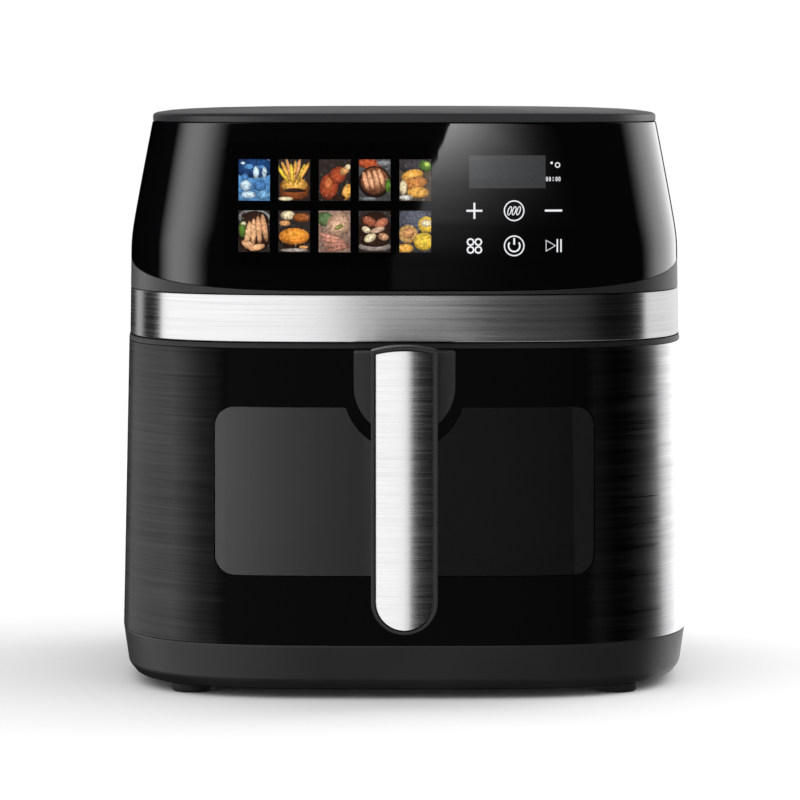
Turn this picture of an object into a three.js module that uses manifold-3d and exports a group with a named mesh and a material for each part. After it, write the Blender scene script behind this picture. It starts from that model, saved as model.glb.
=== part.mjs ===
// Single-drawer air fryer with a windowed basket, built from separate bodies.
//
// Units are millimetres, +Z is up and the front faces -Y. Sizes below are measured from the
// middle of the cabinet; the finished group is shifted so the origin is under its centre.

import * as THREE from "three";
import { mergeVertices } from "three/addons/utils/BufferGeometryUtils.js";
import Module from "manifold-3d";

const wasm = await Module();
wasm.setup();

// ---------------------------------------------------------------- driving dimensions

const SHIFT_Y = 21;            // brings the middle of the overall depth to the origin
const GAP = 0.3;               // clearance between neighbouring bodies
const SQUIRCLE_POWER = 3.6;    // roundness of the cabinet's plan outline
const OUTLINE_SEGMENTS = 40;
const DEPTH_RATIO = 165 / 158.4; // cabinet depth over cabinet width

// Half-width of the cabinet at each height, from the base up to the lid seam.
const CABINET_PROFILE = [
  [5, 151.9], [10, 155.6], [30, 158.4], [190, 154.8], [193, 154.2],
  [219, 153.8], [245, 153.3], [311, 141.4],
];
const BASE = { z0: 5, z1: 29.7, wall: 2.6 };
const BODY = { z0: 30, z1: 189.7, wall: 2.5, seamY: -45 };
const DECK = { z0: 190, z1: 193, flange: 24, standZ: 218.6, standWall: 2.4 };
const BAND = { z0: 193.4, z1: 218.8, wall: 1.2 };
const HEAD = { z0: 219.2, z1: 310.8, wall: 5 };
const PANEL = { wall: 2.4, lowZ: 221, lowY: -161, slope: 0.15, rearY: -40 };
const LID = { z0: 311.2, halfW: 141.3, wall: 3 };
const FOOT = { x: 116, y: 122, r: 11.5, z1: 4.7 };

const WINDOW = { halfW: 103, z0: 67, z1: 158.6, corner: 11, notchR: 32.6 };
const BOSS = { halfW: 27, z1: 189.6, centreZ: 172, y0: -193, screwLow: 158, screwHigh: 180 };
const GRIP = { halfW: 17.7, z0: 41, z1: 194, y0: -213, y1: -193.3, crown: 2.5 };

const BAY = { halfW: 131, y0: -121, y1: 122, z0: 33, z1: 186, sheet: 1.2 };
const DOME = { r: 106, y: -13, z1: 226 };
const PAN = { halfW: 120, halfD: 125, y: -13, z0: 38, z1: 166, corner: 32, wall: 1.8 };
const PAN_WINDOW = { halfW: 80, z0: 74, z1: 152 };
const PLATE = { z0: 53, z1: 55, gap: 3, bumperX: 95, bumperY: 100 };
const GLAND = { x: 60, z: 50 };
const SWITCH = { x: 60, z: 165, y0: 122.4, y1: 142 };
const SHAFT = { r: 3, z0: 203, z1: 287 };
const SLOPE = Math.atan((153.3 - 141.4) * DEPTH_RATIO / 66); // lean of the head's front

// ---------------------------------------------------------------- finishes

const finish = (color, roughness, metalness = 0, opacity = 1) =>
  ({ color, roughness, metalness, opacity });
const FINISH = {
  matteBlack: finish(0x26272a, 0.62),
  softBlack: finish(0x1a1b1d, 0.5),
  glossBlack: finish(0x060607, 0.08),
  brushed: finish(0xb9bbbd, 0.28, 1),
  darkBrushed: finish(0x2b2c2f, 0.35, 0.9),
  sheetSteel: finish(0x9fa3a6, 0.4, 1),
  nonstick: finish(0x2a2a2c, 0.45, 0.4),
  smokedGlass: finish(0x111215, 0.05, 0, 0.4),
  clearGlass: finish(0xc9d4d6, 0.05, 0, 0.3),
  rubber: finish(0x101011, 0.85),
  silicone: finish(0x17181a, 0.8),
  circuit: finish(0x0f4a2a, 0.55),
  copper: finish(0xb06a3a, 0.35, 1),
  zinc: finish(0xc2c6ca, 0.35, 1),
  display: finish(0x0a0c12, 0.15),
  lamp: finish(0xf3ead6, 0.2),
};

// ---------------------------------------------------------------- solid helpers

function toSolid(geometry) {
  // Weld a three.js geometry and hand it over for joining and cutting.
  const bare = geometry.clone();
  bare.deleteAttribute("normal");
  bare.deleteAttribute("uv");
  const welded = mergeVertices(bare, 1e-4);
  const points = welded.attributes.position.array;
  const index = Array.from(welded.index.array);
  const corner = (i) => new THREE.Vector3().fromArray(points, 3 * i);
  const faces = [];
  let volume = 0;
  for (let i = 0; i < index.length; i += 3) {
    const [a, b, c] = index.slice(i, i + 3);
    if (a === b || b === c || c === a) continue;
    faces.push(a, b, c);
    volume += corner(a).dot(corner(b).cross(corner(c)));
  }
  if (volume < 0) faces.reverse();
  return new wasm.Manifold(new wasm.Mesh({
    numProp: 3, vertProperties: new Float32Array(points), triVerts: new Uint32Array(faces),
  }));
}

const union = (...parts) => parts.reduce((all, part) => all.add(part));
const minus = (body, ...tools) => tools.reduce((rest, tool) => rest.subtract(tool), body);

function box(x0, x1, y0, y1, z0, z1) {
  const block = new THREE.BoxGeometry(x1 - x0, y1 - y0, z1 - z0);
  return toSolid(block.translate((x0 + x1) / 2, (y0 + y1) / 2, (z0 + z1) / 2));
}

function rod(r, z0, z1, x = 0, y = 0, segments = 20) {
  const cylinder = new THREE.CylinderGeometry(r, r, z1 - z0, segments).rotateX(Math.PI / 2);
  return toSolid(cylinder.translate(x, y, (z0 + z1) / 2));
}

function rodY(r, y0, y1, x, z, segments = 20) {
  return toSolid(new THREE.CylinderGeometry(r, r, y1 - y0, segments).translate(x, (y0 + y1) / 2, z));
}

function turned(profile, x = 0, y = 0, segments = 24) {
  // Closed [radius, height] profile spun about a vertical axis.
  const loop = [...profile, profile[0]].map(([r, z]) => new THREE.Vector2(r, z));
  const lathe = new THREE.LatheGeometry(loop, segments).rotateX(Math.PI / 2).scale(1, -1, 1);
  return toSolid(lathe.translate(x, y, 0));
}

function turnedY(profile, x, z, segments = 16) {
  // Closed [radius, y] profile spun about an axis running front to back.
  const loop = [...profile, profile[0]].map(([r, y]) => new THREE.Vector2(r, y));
  return toSolid(new THREE.LatheGeometry(loop, segments).translate(x, 0, z));
}

function prismY(shape, y0, y1) {
  // Shape drawn in front view (x, z), extruded from y0 to y1.
  const slab = new THREE.ExtrudeGeometry(shape, { depth: y1 - y0, bevelEnabled: false,
    curveSegments: 6 });
  return toSolid(slab.rotateX(Math.PI / 2).translate(0, y1, 0));
}

function prismZ(shape, z0, z1) {
  const slab = new THREE.ExtrudeGeometry(shape, { depth: z1 - z0, bevelEnabled: false,
    curveSegments: 4 });
  return toSolid(slab.translate(0, 0, z0));
}

function roundedRect(x0, x1, y0, y1, r) {
  const shape = new THREE.Shape();
  shape.absarc(x1 - r, y1 - r, r, 0, Math.PI / 2);
  shape.absarc(x0 + r, y1 - r, r, Math.PI / 2, Math.PI);
  shape.absarc(x0 + r, y0 + r, r, Math.PI, 1.5 * Math.PI);
  shape.absarc(x1 - r, y0 + r, r, 1.5 * Math.PI, 2 * Math.PI);
  return shape;
}

// ---------------------------------------------------------------- cabinet lofts

function squircle() {
  // Unit outline of the cabinet: a rounded square with gently bowed sides.
  const bend = (value) => Math.sign(value) * Math.abs(value) ** (2 / SQUIRCLE_POWER);
  const points = [];
  for (let i = 0; i < OUTLINE_SEGMENTS; i++) {
    const turn = 2 * Math.PI * i / OUTLINE_SEGMENTS;
    points.push(new THREE.Vector2(bend(Math.cos(turn)), bend(Math.sin(turn))));
  }
  return new THREE.Shape(points);
}

function loft(levels, outline = squircle(), centreY = 0) {
  // Stack of scaled outlines; each level is [height, x scale, y scale].
  const steps = levels.length - 1;
  const stack = new THREE.ExtrudeGeometry(outline, { depth: steps, steps, bevelEnabled: false,
    curveSegments: 5 });
  const position = stack.attributes.position;
  for (let i = 0; i < position.count; i++) {
    const [z, sx, sy] = levels[Math.round(position.getZ(i))];
    position.setXYZ(i, position.getX(i) * sx, position.getY(i) * sy + centreY, z);
  }
  return toSolid(stack);
}

function halfWidth(z) {
  const last = CABINET_PROFILE.length - 1;
  if (z <= CABINET_PROFILE[0][0]) return CABINET_PROFILE[0][1];
  if (z >= CABINET_PROFILE[last][0]) return CABINET_PROFILE[last][1];
  const k = CABINET_PROFILE.findIndex(([height]) => height >= z);
  const [[z0, w0], [z1, w1]] = [CABINET_PROFILE[k - 1], CABINET_PROFILE[k]];
  return w0 + (w1 - w0) * (z - z0) / (z1 - z0);
}

function cabinet(z0, z1, inset = 0) {
  // Solid slice of the cabinet between two heights, shrunk by an inset all round.
  const knots = CABINET_PROFILE.map(([z]) => z).filter((z) => z > z0 + 0.5 && z < z1 - 0.5);
  return loft([z0, ...knots, z1].map((z) => {
    const w = halfWidth(z);
    return [z, w - inset, w * DEPTH_RATIO - inset];
  }));
}

function skin(z0, z1, outer, inner) {
  return cabinet(z0, z1, outer).subtract(cabinet(z0 - 0.2, z1 + 0.2, inner));
}

// ---------------------------------------------------------------- base and feet

const atCorners = (build) => [[-1, -1], [1, -1], [-1, 1], [1, 1]].map(([sx, sy]) => build(sx, sy));

function baseTub() {
  const walls = cabinet(BASE.z0, BASE.z1).subtract(cabinet(BASE.z0 + BASE.wall, BASE.z1 + 1, BASE.wall));
  const opening = prismZ(roundedRect(-105, 105, -105, 105, 20), 0, 12);
  const studs = atCorners((sx, sy) => rod(4.4, 0, 12, sx * FOOT.x, sy * FOOT.y, 12));
  return minus(walls, opening, ...studs);
}

function bottomPlate() {
  const plate = prismZ(roundedRect(-104.6, 104.6, -104.6, 104.6, 19.6), 5.2, 7.4);
  const slots = [];
  for (let k = -4; k <= 4; k++) slots.push(box(-40, 40, k * 12 - 2.2, k * 12 + 2.2, 0, 10));
  return minus(plate, ...slots);
}

const foot = (sx, sy) => turned([[0, 0], [FOOT.r - 1, 0], [FOOT.r, 1], [FOOT.r, FOOT.z1],
  [4, FOOT.z1], [4, 11], [0, 11]], sx * FOOT.x, sy * FOOT.y, 16);

// ---------------------------------------------------------------- cabinet walls

const FAR = 400;
const behind = (y) => box(-FAR, FAR, y, FAR, -10, FAR);
const inFront = (y) => box(-FAR, FAR, -FAR, y, -10, FAR);

function bodyShell() {
  const walls = skin(BODY.z0, BODY.z1, 0, BODY.wall).intersect(behind(BODY.seamY + GAP / 2));
  return walls.subtract(rodY(7.3, 150, 180, GLAND.x, GLAND.z, 16));
}

function deckFrame() {
  const ledge = skin(DECK.z0, DECK.z1, -0.2, DECK.flange);
  return ledge.add(skin(DECK.z1 - 1, DECK.standZ, BAND.wall + GAP, BAND.wall + GAP + DECK.standWall));
}

const steelBand = () => skin(BAND.z0, BAND.z1, 0, BAND.wall);

function panelRegion(gap) {
  // Room for the touch panel: its lower edge is a level cut that climbs towards the back.
  const { lowZ, lowY, slope, rearY } = PANEL;
  const normal = new THREE.Vector3(0, -slope, 1);
  const size = normal.length();
  const height = (lowZ - gap - slope * lowY) / size;
  return box(-FAR, FAR, -FAR, rearY + gap, 0, FAR)
    .trimByPlane(normal.divideScalar(size).toArray(), height);
}

const controlPanel = () =>
  skin(HEAD.z0, HEAD.z1, 0, PANEL.wall).intersect(panelRegion(0));

const VENT = { halfW: 62, z0: 240, z1: 298, y: 120 };

function headShell() {
  const walls = skin(HEAD.z0, HEAD.z1, 0, HEAD.wall);
  const recess = skin(HEAD.z0 - 1, HEAD.z1 + 1, -5, PANEL.wall + GAP).intersect(panelRegion(GAP));
  const display = box(-103, 90, -FAR, -80, 231, 303);
  const vent = box(-VENT.halfW, VENT.halfW, VENT.y, FAR, VENT.z0, VENT.z1);
  return minus(walls, recess, display, vent);
}

function rearVentGrille() {
  const g = GAP;
  const frame = skin(VENT.z0 + g, VENT.z1 - g, -2.5, HEAD.wall)
    .intersect(box(g - VENT.halfW, VENT.halfW - g, VENT.y, FAR, 0, FAR));
  const slots = [];
  for (let z = VENT.z0 + 7; z < VENT.z1 - 8; z += 8) {
    slots.push(box(-54, -2, VENT.y, FAR, z, z + 4), box(2, 54, VENT.y, FAR, z, z + 4));
  }
  return minus(frame, ...slots);
}

function topCover() {
  // Shallow dished lid: a low rim, then a crown that flattens towards the middle.
  const level = (z, w) => [z, w, w * DEPTH_RATIO];
  const outside = loft([level(LID.z0, LID.halfW), level(314.4, LID.halfW), level(315.8, 139.8),
    level(317.3, 129), level(318.5, 96), level(319, 50)]);
  const inside = loft([level(LID.z0 - 1, LID.halfW - LID.wall), level(314, 126),
    level(315.8, 80)]);
  return outside.subtract(inside);
}

const cordGland = () => turnedY([[4, 155], [7, 155], [7, 163.6], [11, 166.2], [11, 169], [8, 171],
  [4, 171]], GLAND.x, GLAND.z, 16);

// ---------------------------------------------------------------- cooking chamber

function chamberLiner() {
  const { halfW, y0, y1, z0, z1, sheet } = BAY;
  const outer = box(-halfW, halfW, y0, y1, z0, z1).add(rod(DOME.r, 180, DOME.z1, 0, DOME.y, 36));
  const inner = box(sheet - halfW, halfW - sheet, y0 - 1, y1 - sheet, z0 + sheet, z1 - sheet)
    .add(rod(DOME.r - sheet, 182, DOME.z1 - sheet, 0, DOME.y, 36));
  const shaftHole = rod(8, 200, 240, 0, DOME.y, 16);
  const leadHoles = [-1, 1].map((s) => rod(5, 215, 240, s * 12, DOME.y + 78, 10));
  const lampHole = rod(12, 215, 240, -66, DOME.y - 56, 16);
  const probeHole = rod(2.6, 90, 120, 0, 0, 8).rotate([0, 90, 0]).rotate([0, 0, -40])
    .translate([0, DOME.y, 206]);
  const plungerHole = rodY(2.6, y1 - 5, y1 + 5, SWITCH.x, SWITCH.z, 10);
  return minus(outer, inner, shaftHole, ...leadHoles, lampHole, probeHole, plungerHole);
}

function heaterCoil() {
  // Two-turn spiral with both cold ends turned up through the chamber roof.
  const points = [new THREE.Vector3(-12, 78, 30), new THREE.Vector3(-12, 78, 8)];
  for (let k = 0; k <= 22; k++) {
    const turn = THREE.MathUtils.degToRad(100 + 31 * k);
    const r = 84 - 26 * (k / 22) ** 1.4;
    points.push(new THREE.Vector3(r * Math.cos(turn), r * Math.sin(turn), 0));
  }
  for (const [y, z] of [[66, 8], [78, 14], [78, 30]]) points.push(new THREE.Vector3(12, y, z));
  const path = new THREE.CatmullRomCurve3(points, false, "centripetal");
  const section = new THREE.Shape().absarc(0, 0, 3.2, 0, 2 * Math.PI);
  const tube = new THREE.ExtrudeGeometry(section, { steps: 64, extrudePath: path,
    curveSegments: 3, bevelEnabled: false });
  return toSolid(tube.translate(0, DOME.y, 198));
}

function heaterGuard() {
  const ring = (r, w) => turned([[r - w, 188], [r, 188], [r, 190], [r - w, 190]], 0, DOME.y, 22);
  const bars = [0, 60, 120].map((turn) => box(-99, 99, -1, 1, 188, 190)
    .rotate([0, 0, turn]).translate([0, DOME.y, 0]));
  return union(ring(101, 3), ring(55, 2), ...bars);
}

function heaterBracket(turn) {
  const post = box(93, 99, -4, 4, 190.6, 224.4).add(box(90, 94, -4, 4, 203, 206));
  return post.rotate([0, 0, turn]).translate([0, DOME.y, 0]);
}

function heatShield() {
  const tray = prismZ(roundedRect(-112, 112, DOME.y - 100, DOME.y + 112, 40), 234, 240)
    .subtract(prismZ(roundedRect(-110.8, 110.8, DOME.y - 98.8, DOME.y + 110.8, 38.8), 235.2, 241));
  const leads = [-1, 1].map((s) => rod(6, 230, 245, s * 12, DOME.y + 78, 10));
  const lamp = rod(14, 230, 245, -66, DOME.y - 56, 16);
  return minus(tray, rod(8, 230, 245, 0, DOME.y, 16), ...leads, lamp);
}

const temperatureProbe = () => toSolid(new THREE.CylinderGeometry(2.2, 2.2, 30, 10)
  .rotateZ(Math.PI / 2).translate(108, 0, 0).rotateZ(-40 * Math.PI / 180)
  .translate(0, DOME.y, 206));

const thermalFuse = () => toSolid(new THREE.CylinderGeometry(3, 3, 22, 10)
  .rotateZ(Math.PI / 2).translate(48, DOME.y - 40, 229.6));

const chamberLamp = () => turned([[0, 224.6], [5, 224.6], [6.5, 229], [6.5, 236], [10, 236],
  [10, 250], [0, 250]], -66, DOME.y - 56, 16);
const lampLens = () => turned([[0, 222], [8, 222.4], [11.6, 223.6], [11.6, 226], [10, 226],
  [9, 224.2], [0, 223.8]], -66, DOME.y - 56, 16);

// ---------------------------------------------------------------- fan and motor

const motorShaft = () => rod(SHAFT.r, SHAFT.z0, SHAFT.z1, 0, DOME.y, 12);

function fanWheel({ r, hub, z0, z1, disc, blades, lean }) {
  // Backing disc with a hub and upright blades, each turned a little out of the radius.
  const plate = rod(r, disc, disc + 1.2, 0, 0, 24).add(rod(hub, z0, z1, 0, 0, 14));
  const vanes = [];
  for (let k = 0; k < blades; k++) {
    vanes.push(box(0, r - hub, -0.7, 0.7, z0, z1).rotate([0, 0, lean])
      .translate([hub - 1, 0, 0]).rotate([0, 0, 360 * k / blades]));
  }
  const bore = rod(SHAFT.r + 0.2, z0 - 5, z1 + 5, 0, 0, 12);
  return union(plate, ...vanes).subtract(bore).translate([0, DOME.y, 0]);
}

const hotAirFan = () =>
  fanWheel({ r: 60, hub: 11, z0: 209, z1: 220, disc: 219, blades: 10, lean: 12 });
const coolingFan = () =>
  fanWheel({ r: 44, hub: 10, z0: 273, z1: 284, disc: 273, blades: 8, lean: 12 });

const fanNut = () =>
  rod(6, 204, 208.6, 0, DOME.y, 6).subtract(rod(SHAFT.r + 0.2, 200, 210, 0, DOME.y, 12));

const motorBody = () => turned([[3.5, 246], [12, 246], [12, 248], [33, 248], [33, 266], [12, 266],
  [12, 269], [3.5, 269]], 0, DOME.y, 22);

function motorBracket() {
  const plate = box(-58, 58, -10, 10, 243.4, 245.6).subtract(rod(8, 240, 250, 0, 0, 14));
  const legs = [-1, 1].map((s) => box(s * 56 - 2, s * 56 + 2, -10, 10, 235.6, 244));
  return union(plate, ...legs).translate([0, DOME.y, 0]);
}

function coolingDuct() {
  const ring = turned([[48, 271], [50, 271], [50, 288], [48, 288]], 0, DOME.y, 24);
  const arms = [45, 135, 225, 315].map((turn) => box(34, 49, -3, 3, 268.4, 271.6)
    .rotate([0, 0, turn]).translate([0, DOME.y, 0]));
  const hoop = turned([[33.6, 266.6], [36, 266.6], [36, 271.6], [33.6, 271.6]], 0, DOME.y, 20);
  return union(ring, hoop, ...arms);
}

// ---------------------------------------------------------------- electronics

const powerBoard = () => box(62, 122, -70, 40, 243, 244.6)
  .add(box(64, 68, -68, -60, 238, 243.4)).add(box(64, 68, 30, 38, 238, 243.4));
const boardTransformer = () => box(74, 98, -20, 6, 245, 265);
const boardCapacitor = () => rod(9, 245, 268, 86, 24, 16);

function leaning(x0, x1, z0, z1, depth, thick) {
  // Slab parallel to the head's sloping front; depth is its distance behind that front.
  const slab = box(x0, x1, 0, thick, z0 - 266, z1 - 266);
  const front = -halfWidth(266) * DEPTH_RATIO;
  return slab.rotate([-THREE.MathUtils.radToDeg(SLOPE), 0, 0]).translate([0, front + depth, 266]);
}

const displayModule = () => leaning(-99, 19, 233, 300, 16.2, 3);
const ledDisplay = () => leaning(33, 78, 275, 295, 16.2, 3);
const touchBoard = () => leaning(27, 86, 236, 271, 16.2, 1.6);
const controlBoard = () => leaning(-98, 86, 236, 298, 23, 1.6);

// ---------------------------------------------------------------- drawer switch and rails

function interlockSwitch() {
  const { x, z, y0, y1 } = SWITCH;
  return box(x - 10, x + 10, y0, y1, z - 6, z + 8).subtract(rodY(2.5, y0 - 1, y1 - 3, x, z, 10));
}

// Spring-loaded pin that the back of the pan's rim holds in while the drawer is shut.
const interlockPlunger = () => turnedY([[0, 118.4], [1.4, 118.4], [2.1, 119.4], [2.1, 134],
  [0, 134]], SWITCH.x, SWITCH.z, 10);

const rail = (s) => box(s * 126.4 - 3.2, s * 126.4 + 3.2, BAY.y0 + 3, 110, 156, 163.6)
  .subtract(box(s * 126.4 - 2, s * 126.4 + 2, BAY.y0, 112, 150, 161.6));

// ---------------------------------------------------------------- drawer

function windowRegion(gap) {
  const { halfW, z0, z1, corner, notchR } = WINDOW;
  const pane = prismY(roundedRect(gap - halfW, halfW - gap, z0 + gap, z1 - gap, corner - gap),
    -FAR, -110);
  return pane.subtract(rodY(notchR + gap, -FAR, -100, 0, 168, 32));
}

const screwHoles = (r, y0) => [BOSS.screwLow, BOSS.screwHigh].map((z) => rodY(r, y0, -100, 0, z, 10));

function drawerFront() {
  const shell = skin(BODY.z0, BODY.z1, 0, 3).intersect(inFront(BODY.seamY - GAP / 2));
  return minus(shell, windowRegion(0), ...screwHoles(2.6, -FAR));
}

const windowGlass = () => skin(60, 170, 0.5, 3).intersect(windowRegion(GAP));

function drawerInnerFrame() {
  const wall = skin(34, 187, 3.3, 5.8).intersect(inFront(-122.4));
  const sight = prismY(roundedRect(-88, 88, 72, 154, 8), -FAR, -110);
  return minus(wall, sight, ...screwHoles(2.6, -FAR));
}

const windowSeal = () => prismY(roundedRect(-86, 86, 70, 156, 9), -149.4, -139.6)
  .subtract(prismY(roundedRect(-83.5, 83.5, 72.5, 153.5, 7), -FAR, -110));

const panBracket = () => box(-70, 70, -152.6, -138.6, 42, 62);

function panSolid(z0, z1, inset) {
  const taper = (z) => 4 * (PAN.z1 - z) / (PAN.z1 - PAN.z0);
  const unit = roundedRect(-PAN.halfW, PAN.halfW, -PAN.halfD, PAN.halfD, PAN.corner);
  const scale = (z) => [z, 1 - (taper(z) + inset) / PAN.halfW, 1 - (taper(z) + inset) / PAN.halfD];
  return loft([z0, z1].map(scale), unit, PAN.y);
}

const panWindowRegion = (gap) => prismY(roundedRect(gap - PAN_WINDOW.halfW, PAN_WINDOW.halfW - gap,
  PAN_WINDOW.z0 + gap, PAN_WINDOW.z1 - gap, 7), -FAR, -100);

function pan() {
  const tub = panSolid(PAN.z0, PAN.z1, 0);
  const rim = prismZ(roundedRect(-126, 126, PAN.y - 126.5, PAN.y + 131, 38), PAN.z1 - 1.8, PAN.z1);
  const hollow = panSolid(PAN.z0 + PAN.wall, PAN.z1 + 0.01, PAN.wall);
  return minus(tub.add(rim), hollow, panWindowRegion(0));
}

const panWindowGlass = () => panSolid(60, 160, 0.1).subtract(panSolid(59, 161, PAN.wall - 0.1))
  .intersect(panWindowRegion(GAP));

function crisperPlate() {
  const plate = panSolid(PLATE.z0, PLATE.z1, PAN.wall + PLATE.gap);
  const slots = [];
  for (let row = -3; row <= 3; row++) {
    const y = row * 27 + PAN.y;
    for (let col = -1; col <= 1; col++) {
      slots.push(box(col * 58 - 22, col * 58 + 22, y - 3.5, y + 3.5, 50, 60));
    }
  }
  const sockets = atCorners((sx, sy) =>
    rod(4.3, 50, 60, sx * PLATE.bumperX, sy * PLATE.bumperY + PAN.y, 10));
  return minus(plate, ...slots, ...sockets);
}

// Soft stud gripping the plate in a groove, so the plate stands clear of the pan.
const plateBumper = (sx, sy) => turned([[0, 40.2], [6, 40.2], [6, 52.7], [4, 52.7], [4, 55.3],
  [6, 55.3], [5, 59], [0, 59]], sx * PLATE.bumperX, sy * PLATE.bumperY + PAN.y, 12);

// ---------------------------------------------------------------- handle

function bossShape() {
  const { halfW, z1, centreZ } = BOSS;
  const shape = new THREE.Shape();
  shape.moveTo(halfW, z1);
  shape.lineTo(-halfW, z1);
  shape.lineTo(-halfW, centreZ);
  shape.absarc(0, centreZ, halfW, Math.PI, 2 * Math.PI);
  return shape;
}

function handleBoss() {
  const block = prismY(bossShape(), BOSS.y0, -140).subtract(cabinet(100, 200, -GAP));
  return minus(block, ...screwHoles(2.3, -176));
}

function gripShape(inset) {
  const { halfW, z0, z1, crown } = GRIP;
  const w = halfW - inset;
  const shape = new THREE.Shape();
  shape.absarc(0, z0 + halfW, w, Math.PI, 2 * Math.PI);
  shape.lineTo(w, z1 - crown - inset);
  shape.quadraticCurveTo(0, z1 + crown - inset, -w, z1 - crown - inset);
  return shape;
}

function handleGrip() {
  const bar = prismY(gripShape(0), GRIP.y0, GRIP.y1);
  return bar.subtract(prismY(gripShape(1.5), GRIP.y0 - 1, GRIP.y0 + 2.2));
}

const handleCover = () => prismY(gripShape(1.8), GRIP.y0, GRIP.y0 + 1.9);

const handleScrew = (z) => turnedY([[0, -174], [1.9, -174], [1.9, -155.1], [4, -155.1], [4, -152.9],
  [0, -152.9]], 0, z, 10);

// ---------------------------------------------------------------- assembly

const group = new THREE.Group();
group.name = "air_fryer";

function add(name, body, { color, roughness, metalness, opacity }) {
  const { vertProperties, triVerts } = body.translate([0, SHIFT_Y, 0]).getMesh();
  const geometry = new THREE.BufferGeometry();
  geometry.setAttribute("position", new THREE.BufferAttribute(vertProperties, 3));
  geometry.setIndex(new THREE.BufferAttribute(triVerts, 1));
  const material = new THREE.MeshStandardMaterial({ color, roughness, metalness, opacity,
    transparent: opacity < 1 });
  const mesh = new THREE.Mesh(geometry, material);
  mesh.name = name;
  group.add(mesh);
}

add("base_tub", baseTub(), FINISH.matteBlack);
add("bottom_plate", bottomPlate(), FINISH.softBlack);

const CORNERS = ["front_left", "front_right", "rear_left", "rear_right"];
atCorners(foot).forEach((body, k) => add(`foot_${CORNERS[k]}`, body, FINISH.rubber));
add("body_shell", bodyShell(), FINISH.darkBrushed);
add("deck_frame", deckFrame(), FINISH.softBlack);
add("steel_band", steelBand(), FINISH.brushed);
add("head_shell", headShell(), FINISH.matteBlack);
add("control_panel", controlPanel(), FINISH.glossBlack);
add("rear_vent_grille", rearVentGrille(), FINISH.matteBlack);
add("top_cover", topCover(), FINISH.matteBlack);
add("cord_gland", cordGland(), FINISH.rubber);

add("chamber_liner", chamberLiner(), FINISH.sheetSteel);
add("heater_coil", heaterCoil(), FINISH.sheetSteel);
add("heater_guard", heaterGuard(), FINISH.zinc);
for (const [letter, turn] of [["a", 20], ["b", 140], ["c", 260]]) {
  add(`heater_bracket_${letter}`, heaterBracket(turn), FINISH.zinc);
}
add("heat_shield", heatShield(), FINISH.sheetSteel);
add("temperature_probe", temperatureProbe(), FINISH.zinc);
add("thermal_fuse", thermalFuse(), FINISH.zinc);
add("chamber_lamp", chamberLamp(), FINISH.lamp);
add("lamp_lens", lampLens(), FINISH.clearGlass);
add("rail_left", rail(-1), FINISH.sheetSteel);
add("rail_right", rail(1), FINISH.sheetSteel);

add("motor_shaft", motorShaft(), FINISH.zinc);
add("hot_air_fan", hotAirFan(), FINISH.sheetSteel);
add("cooling_fan", coolingFan(), FINISH.softBlack);
add("fan_nut", fanNut(), FINISH.zinc);
add("motor_body", motorBody(), FINISH.zinc);
add("motor_bracket", motorBracket(), FINISH.sheetSteel);
add("cooling_duct", coolingDuct(), FINISH.softBlack);

add("power_board", powerBoard(), FINISH.circuit);
add("board_transformer", boardTransformer(), FINISH.copper);
add("board_capacitor", boardCapacitor(), FINISH.zinc);
add("display_module", displayModule(), FINISH.display);
add("led_display", ledDisplay(), FINISH.display);
add("touch_board", touchBoard(), FINISH.circuit);
add("control_board", controlBoard(), FINISH.circuit);
add("interlock_switch", interlockSwitch(), FINISH.softBlack);
add("interlock_plunger", interlockPlunger(), FINISH.zinc);

add("drawer_front", drawerFront(), FINISH.glossBlack);
add("window_glass", windowGlass(), FINISH.smokedGlass);
add("drawer_inner_frame", drawerInnerFrame(), FINISH.softBlack);
add("window_seal", windowSeal(), FINISH.silicone);
add("pan_bracket", panBracket(), FINISH.softBlack);
add("pan", pan(), FINISH.nonstick);
add("pan_window_glass", panWindowGlass(), FINISH.clearGlass);
add("handle_boss", handleBoss(), FINISH.matteBlack);
add("handle_grip", handleGrip(), FINISH.softBlack);
add("handle_cover", handleCover(), FINISH.brushed);
add("handle_screw_lower", handleScrew(BOSS.screwLow), FINISH.zinc);
add("handle_screw_upper", handleScrew(BOSS.screwHigh), FINISH.zinc);

add("crisper_plate", crisperPlate(), FINISH.nonstick);
atCorners(plateBumper).forEach((body, k) => add(`plate_bumper_${CORNERS[k]}`, body, FINISH.silicone));

export default group;
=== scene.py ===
"""Looks of a single-drawer air fryer with a windowed basket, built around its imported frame.

Sizes of the pieces are in millimetres, and those of the studio in metres.
"""

import logging
import math
from collections.abc import Callable, Iterable, Sequence
from dataclasses import dataclass, field
from enum import Enum

import bpy
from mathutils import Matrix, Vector


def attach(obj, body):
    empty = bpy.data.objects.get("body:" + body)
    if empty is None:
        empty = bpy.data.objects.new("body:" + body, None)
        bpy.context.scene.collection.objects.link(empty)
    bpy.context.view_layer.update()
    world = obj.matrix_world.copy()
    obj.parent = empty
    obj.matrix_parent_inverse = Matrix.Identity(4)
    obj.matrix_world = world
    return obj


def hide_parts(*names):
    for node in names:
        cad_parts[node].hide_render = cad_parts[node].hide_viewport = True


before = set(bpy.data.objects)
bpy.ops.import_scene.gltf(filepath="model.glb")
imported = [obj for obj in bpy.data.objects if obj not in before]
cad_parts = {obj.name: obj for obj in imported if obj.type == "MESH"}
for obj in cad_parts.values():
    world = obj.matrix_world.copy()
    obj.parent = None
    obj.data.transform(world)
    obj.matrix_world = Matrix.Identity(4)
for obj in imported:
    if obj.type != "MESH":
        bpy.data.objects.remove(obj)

log = logging.getLogger("air_fryer")
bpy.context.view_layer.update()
MM = 0.001
SHIFT_Y = 0.021  # the cabinet's middle lies this far behind the frame's origin
CORNERS = (("front_left", -1, -1), ("front_right", 1, -1), ("rear_left", -1, 1),
           ("rear_right", 1, 1))
FaceTest = Callable[[Vector, Vector], bool]


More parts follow.
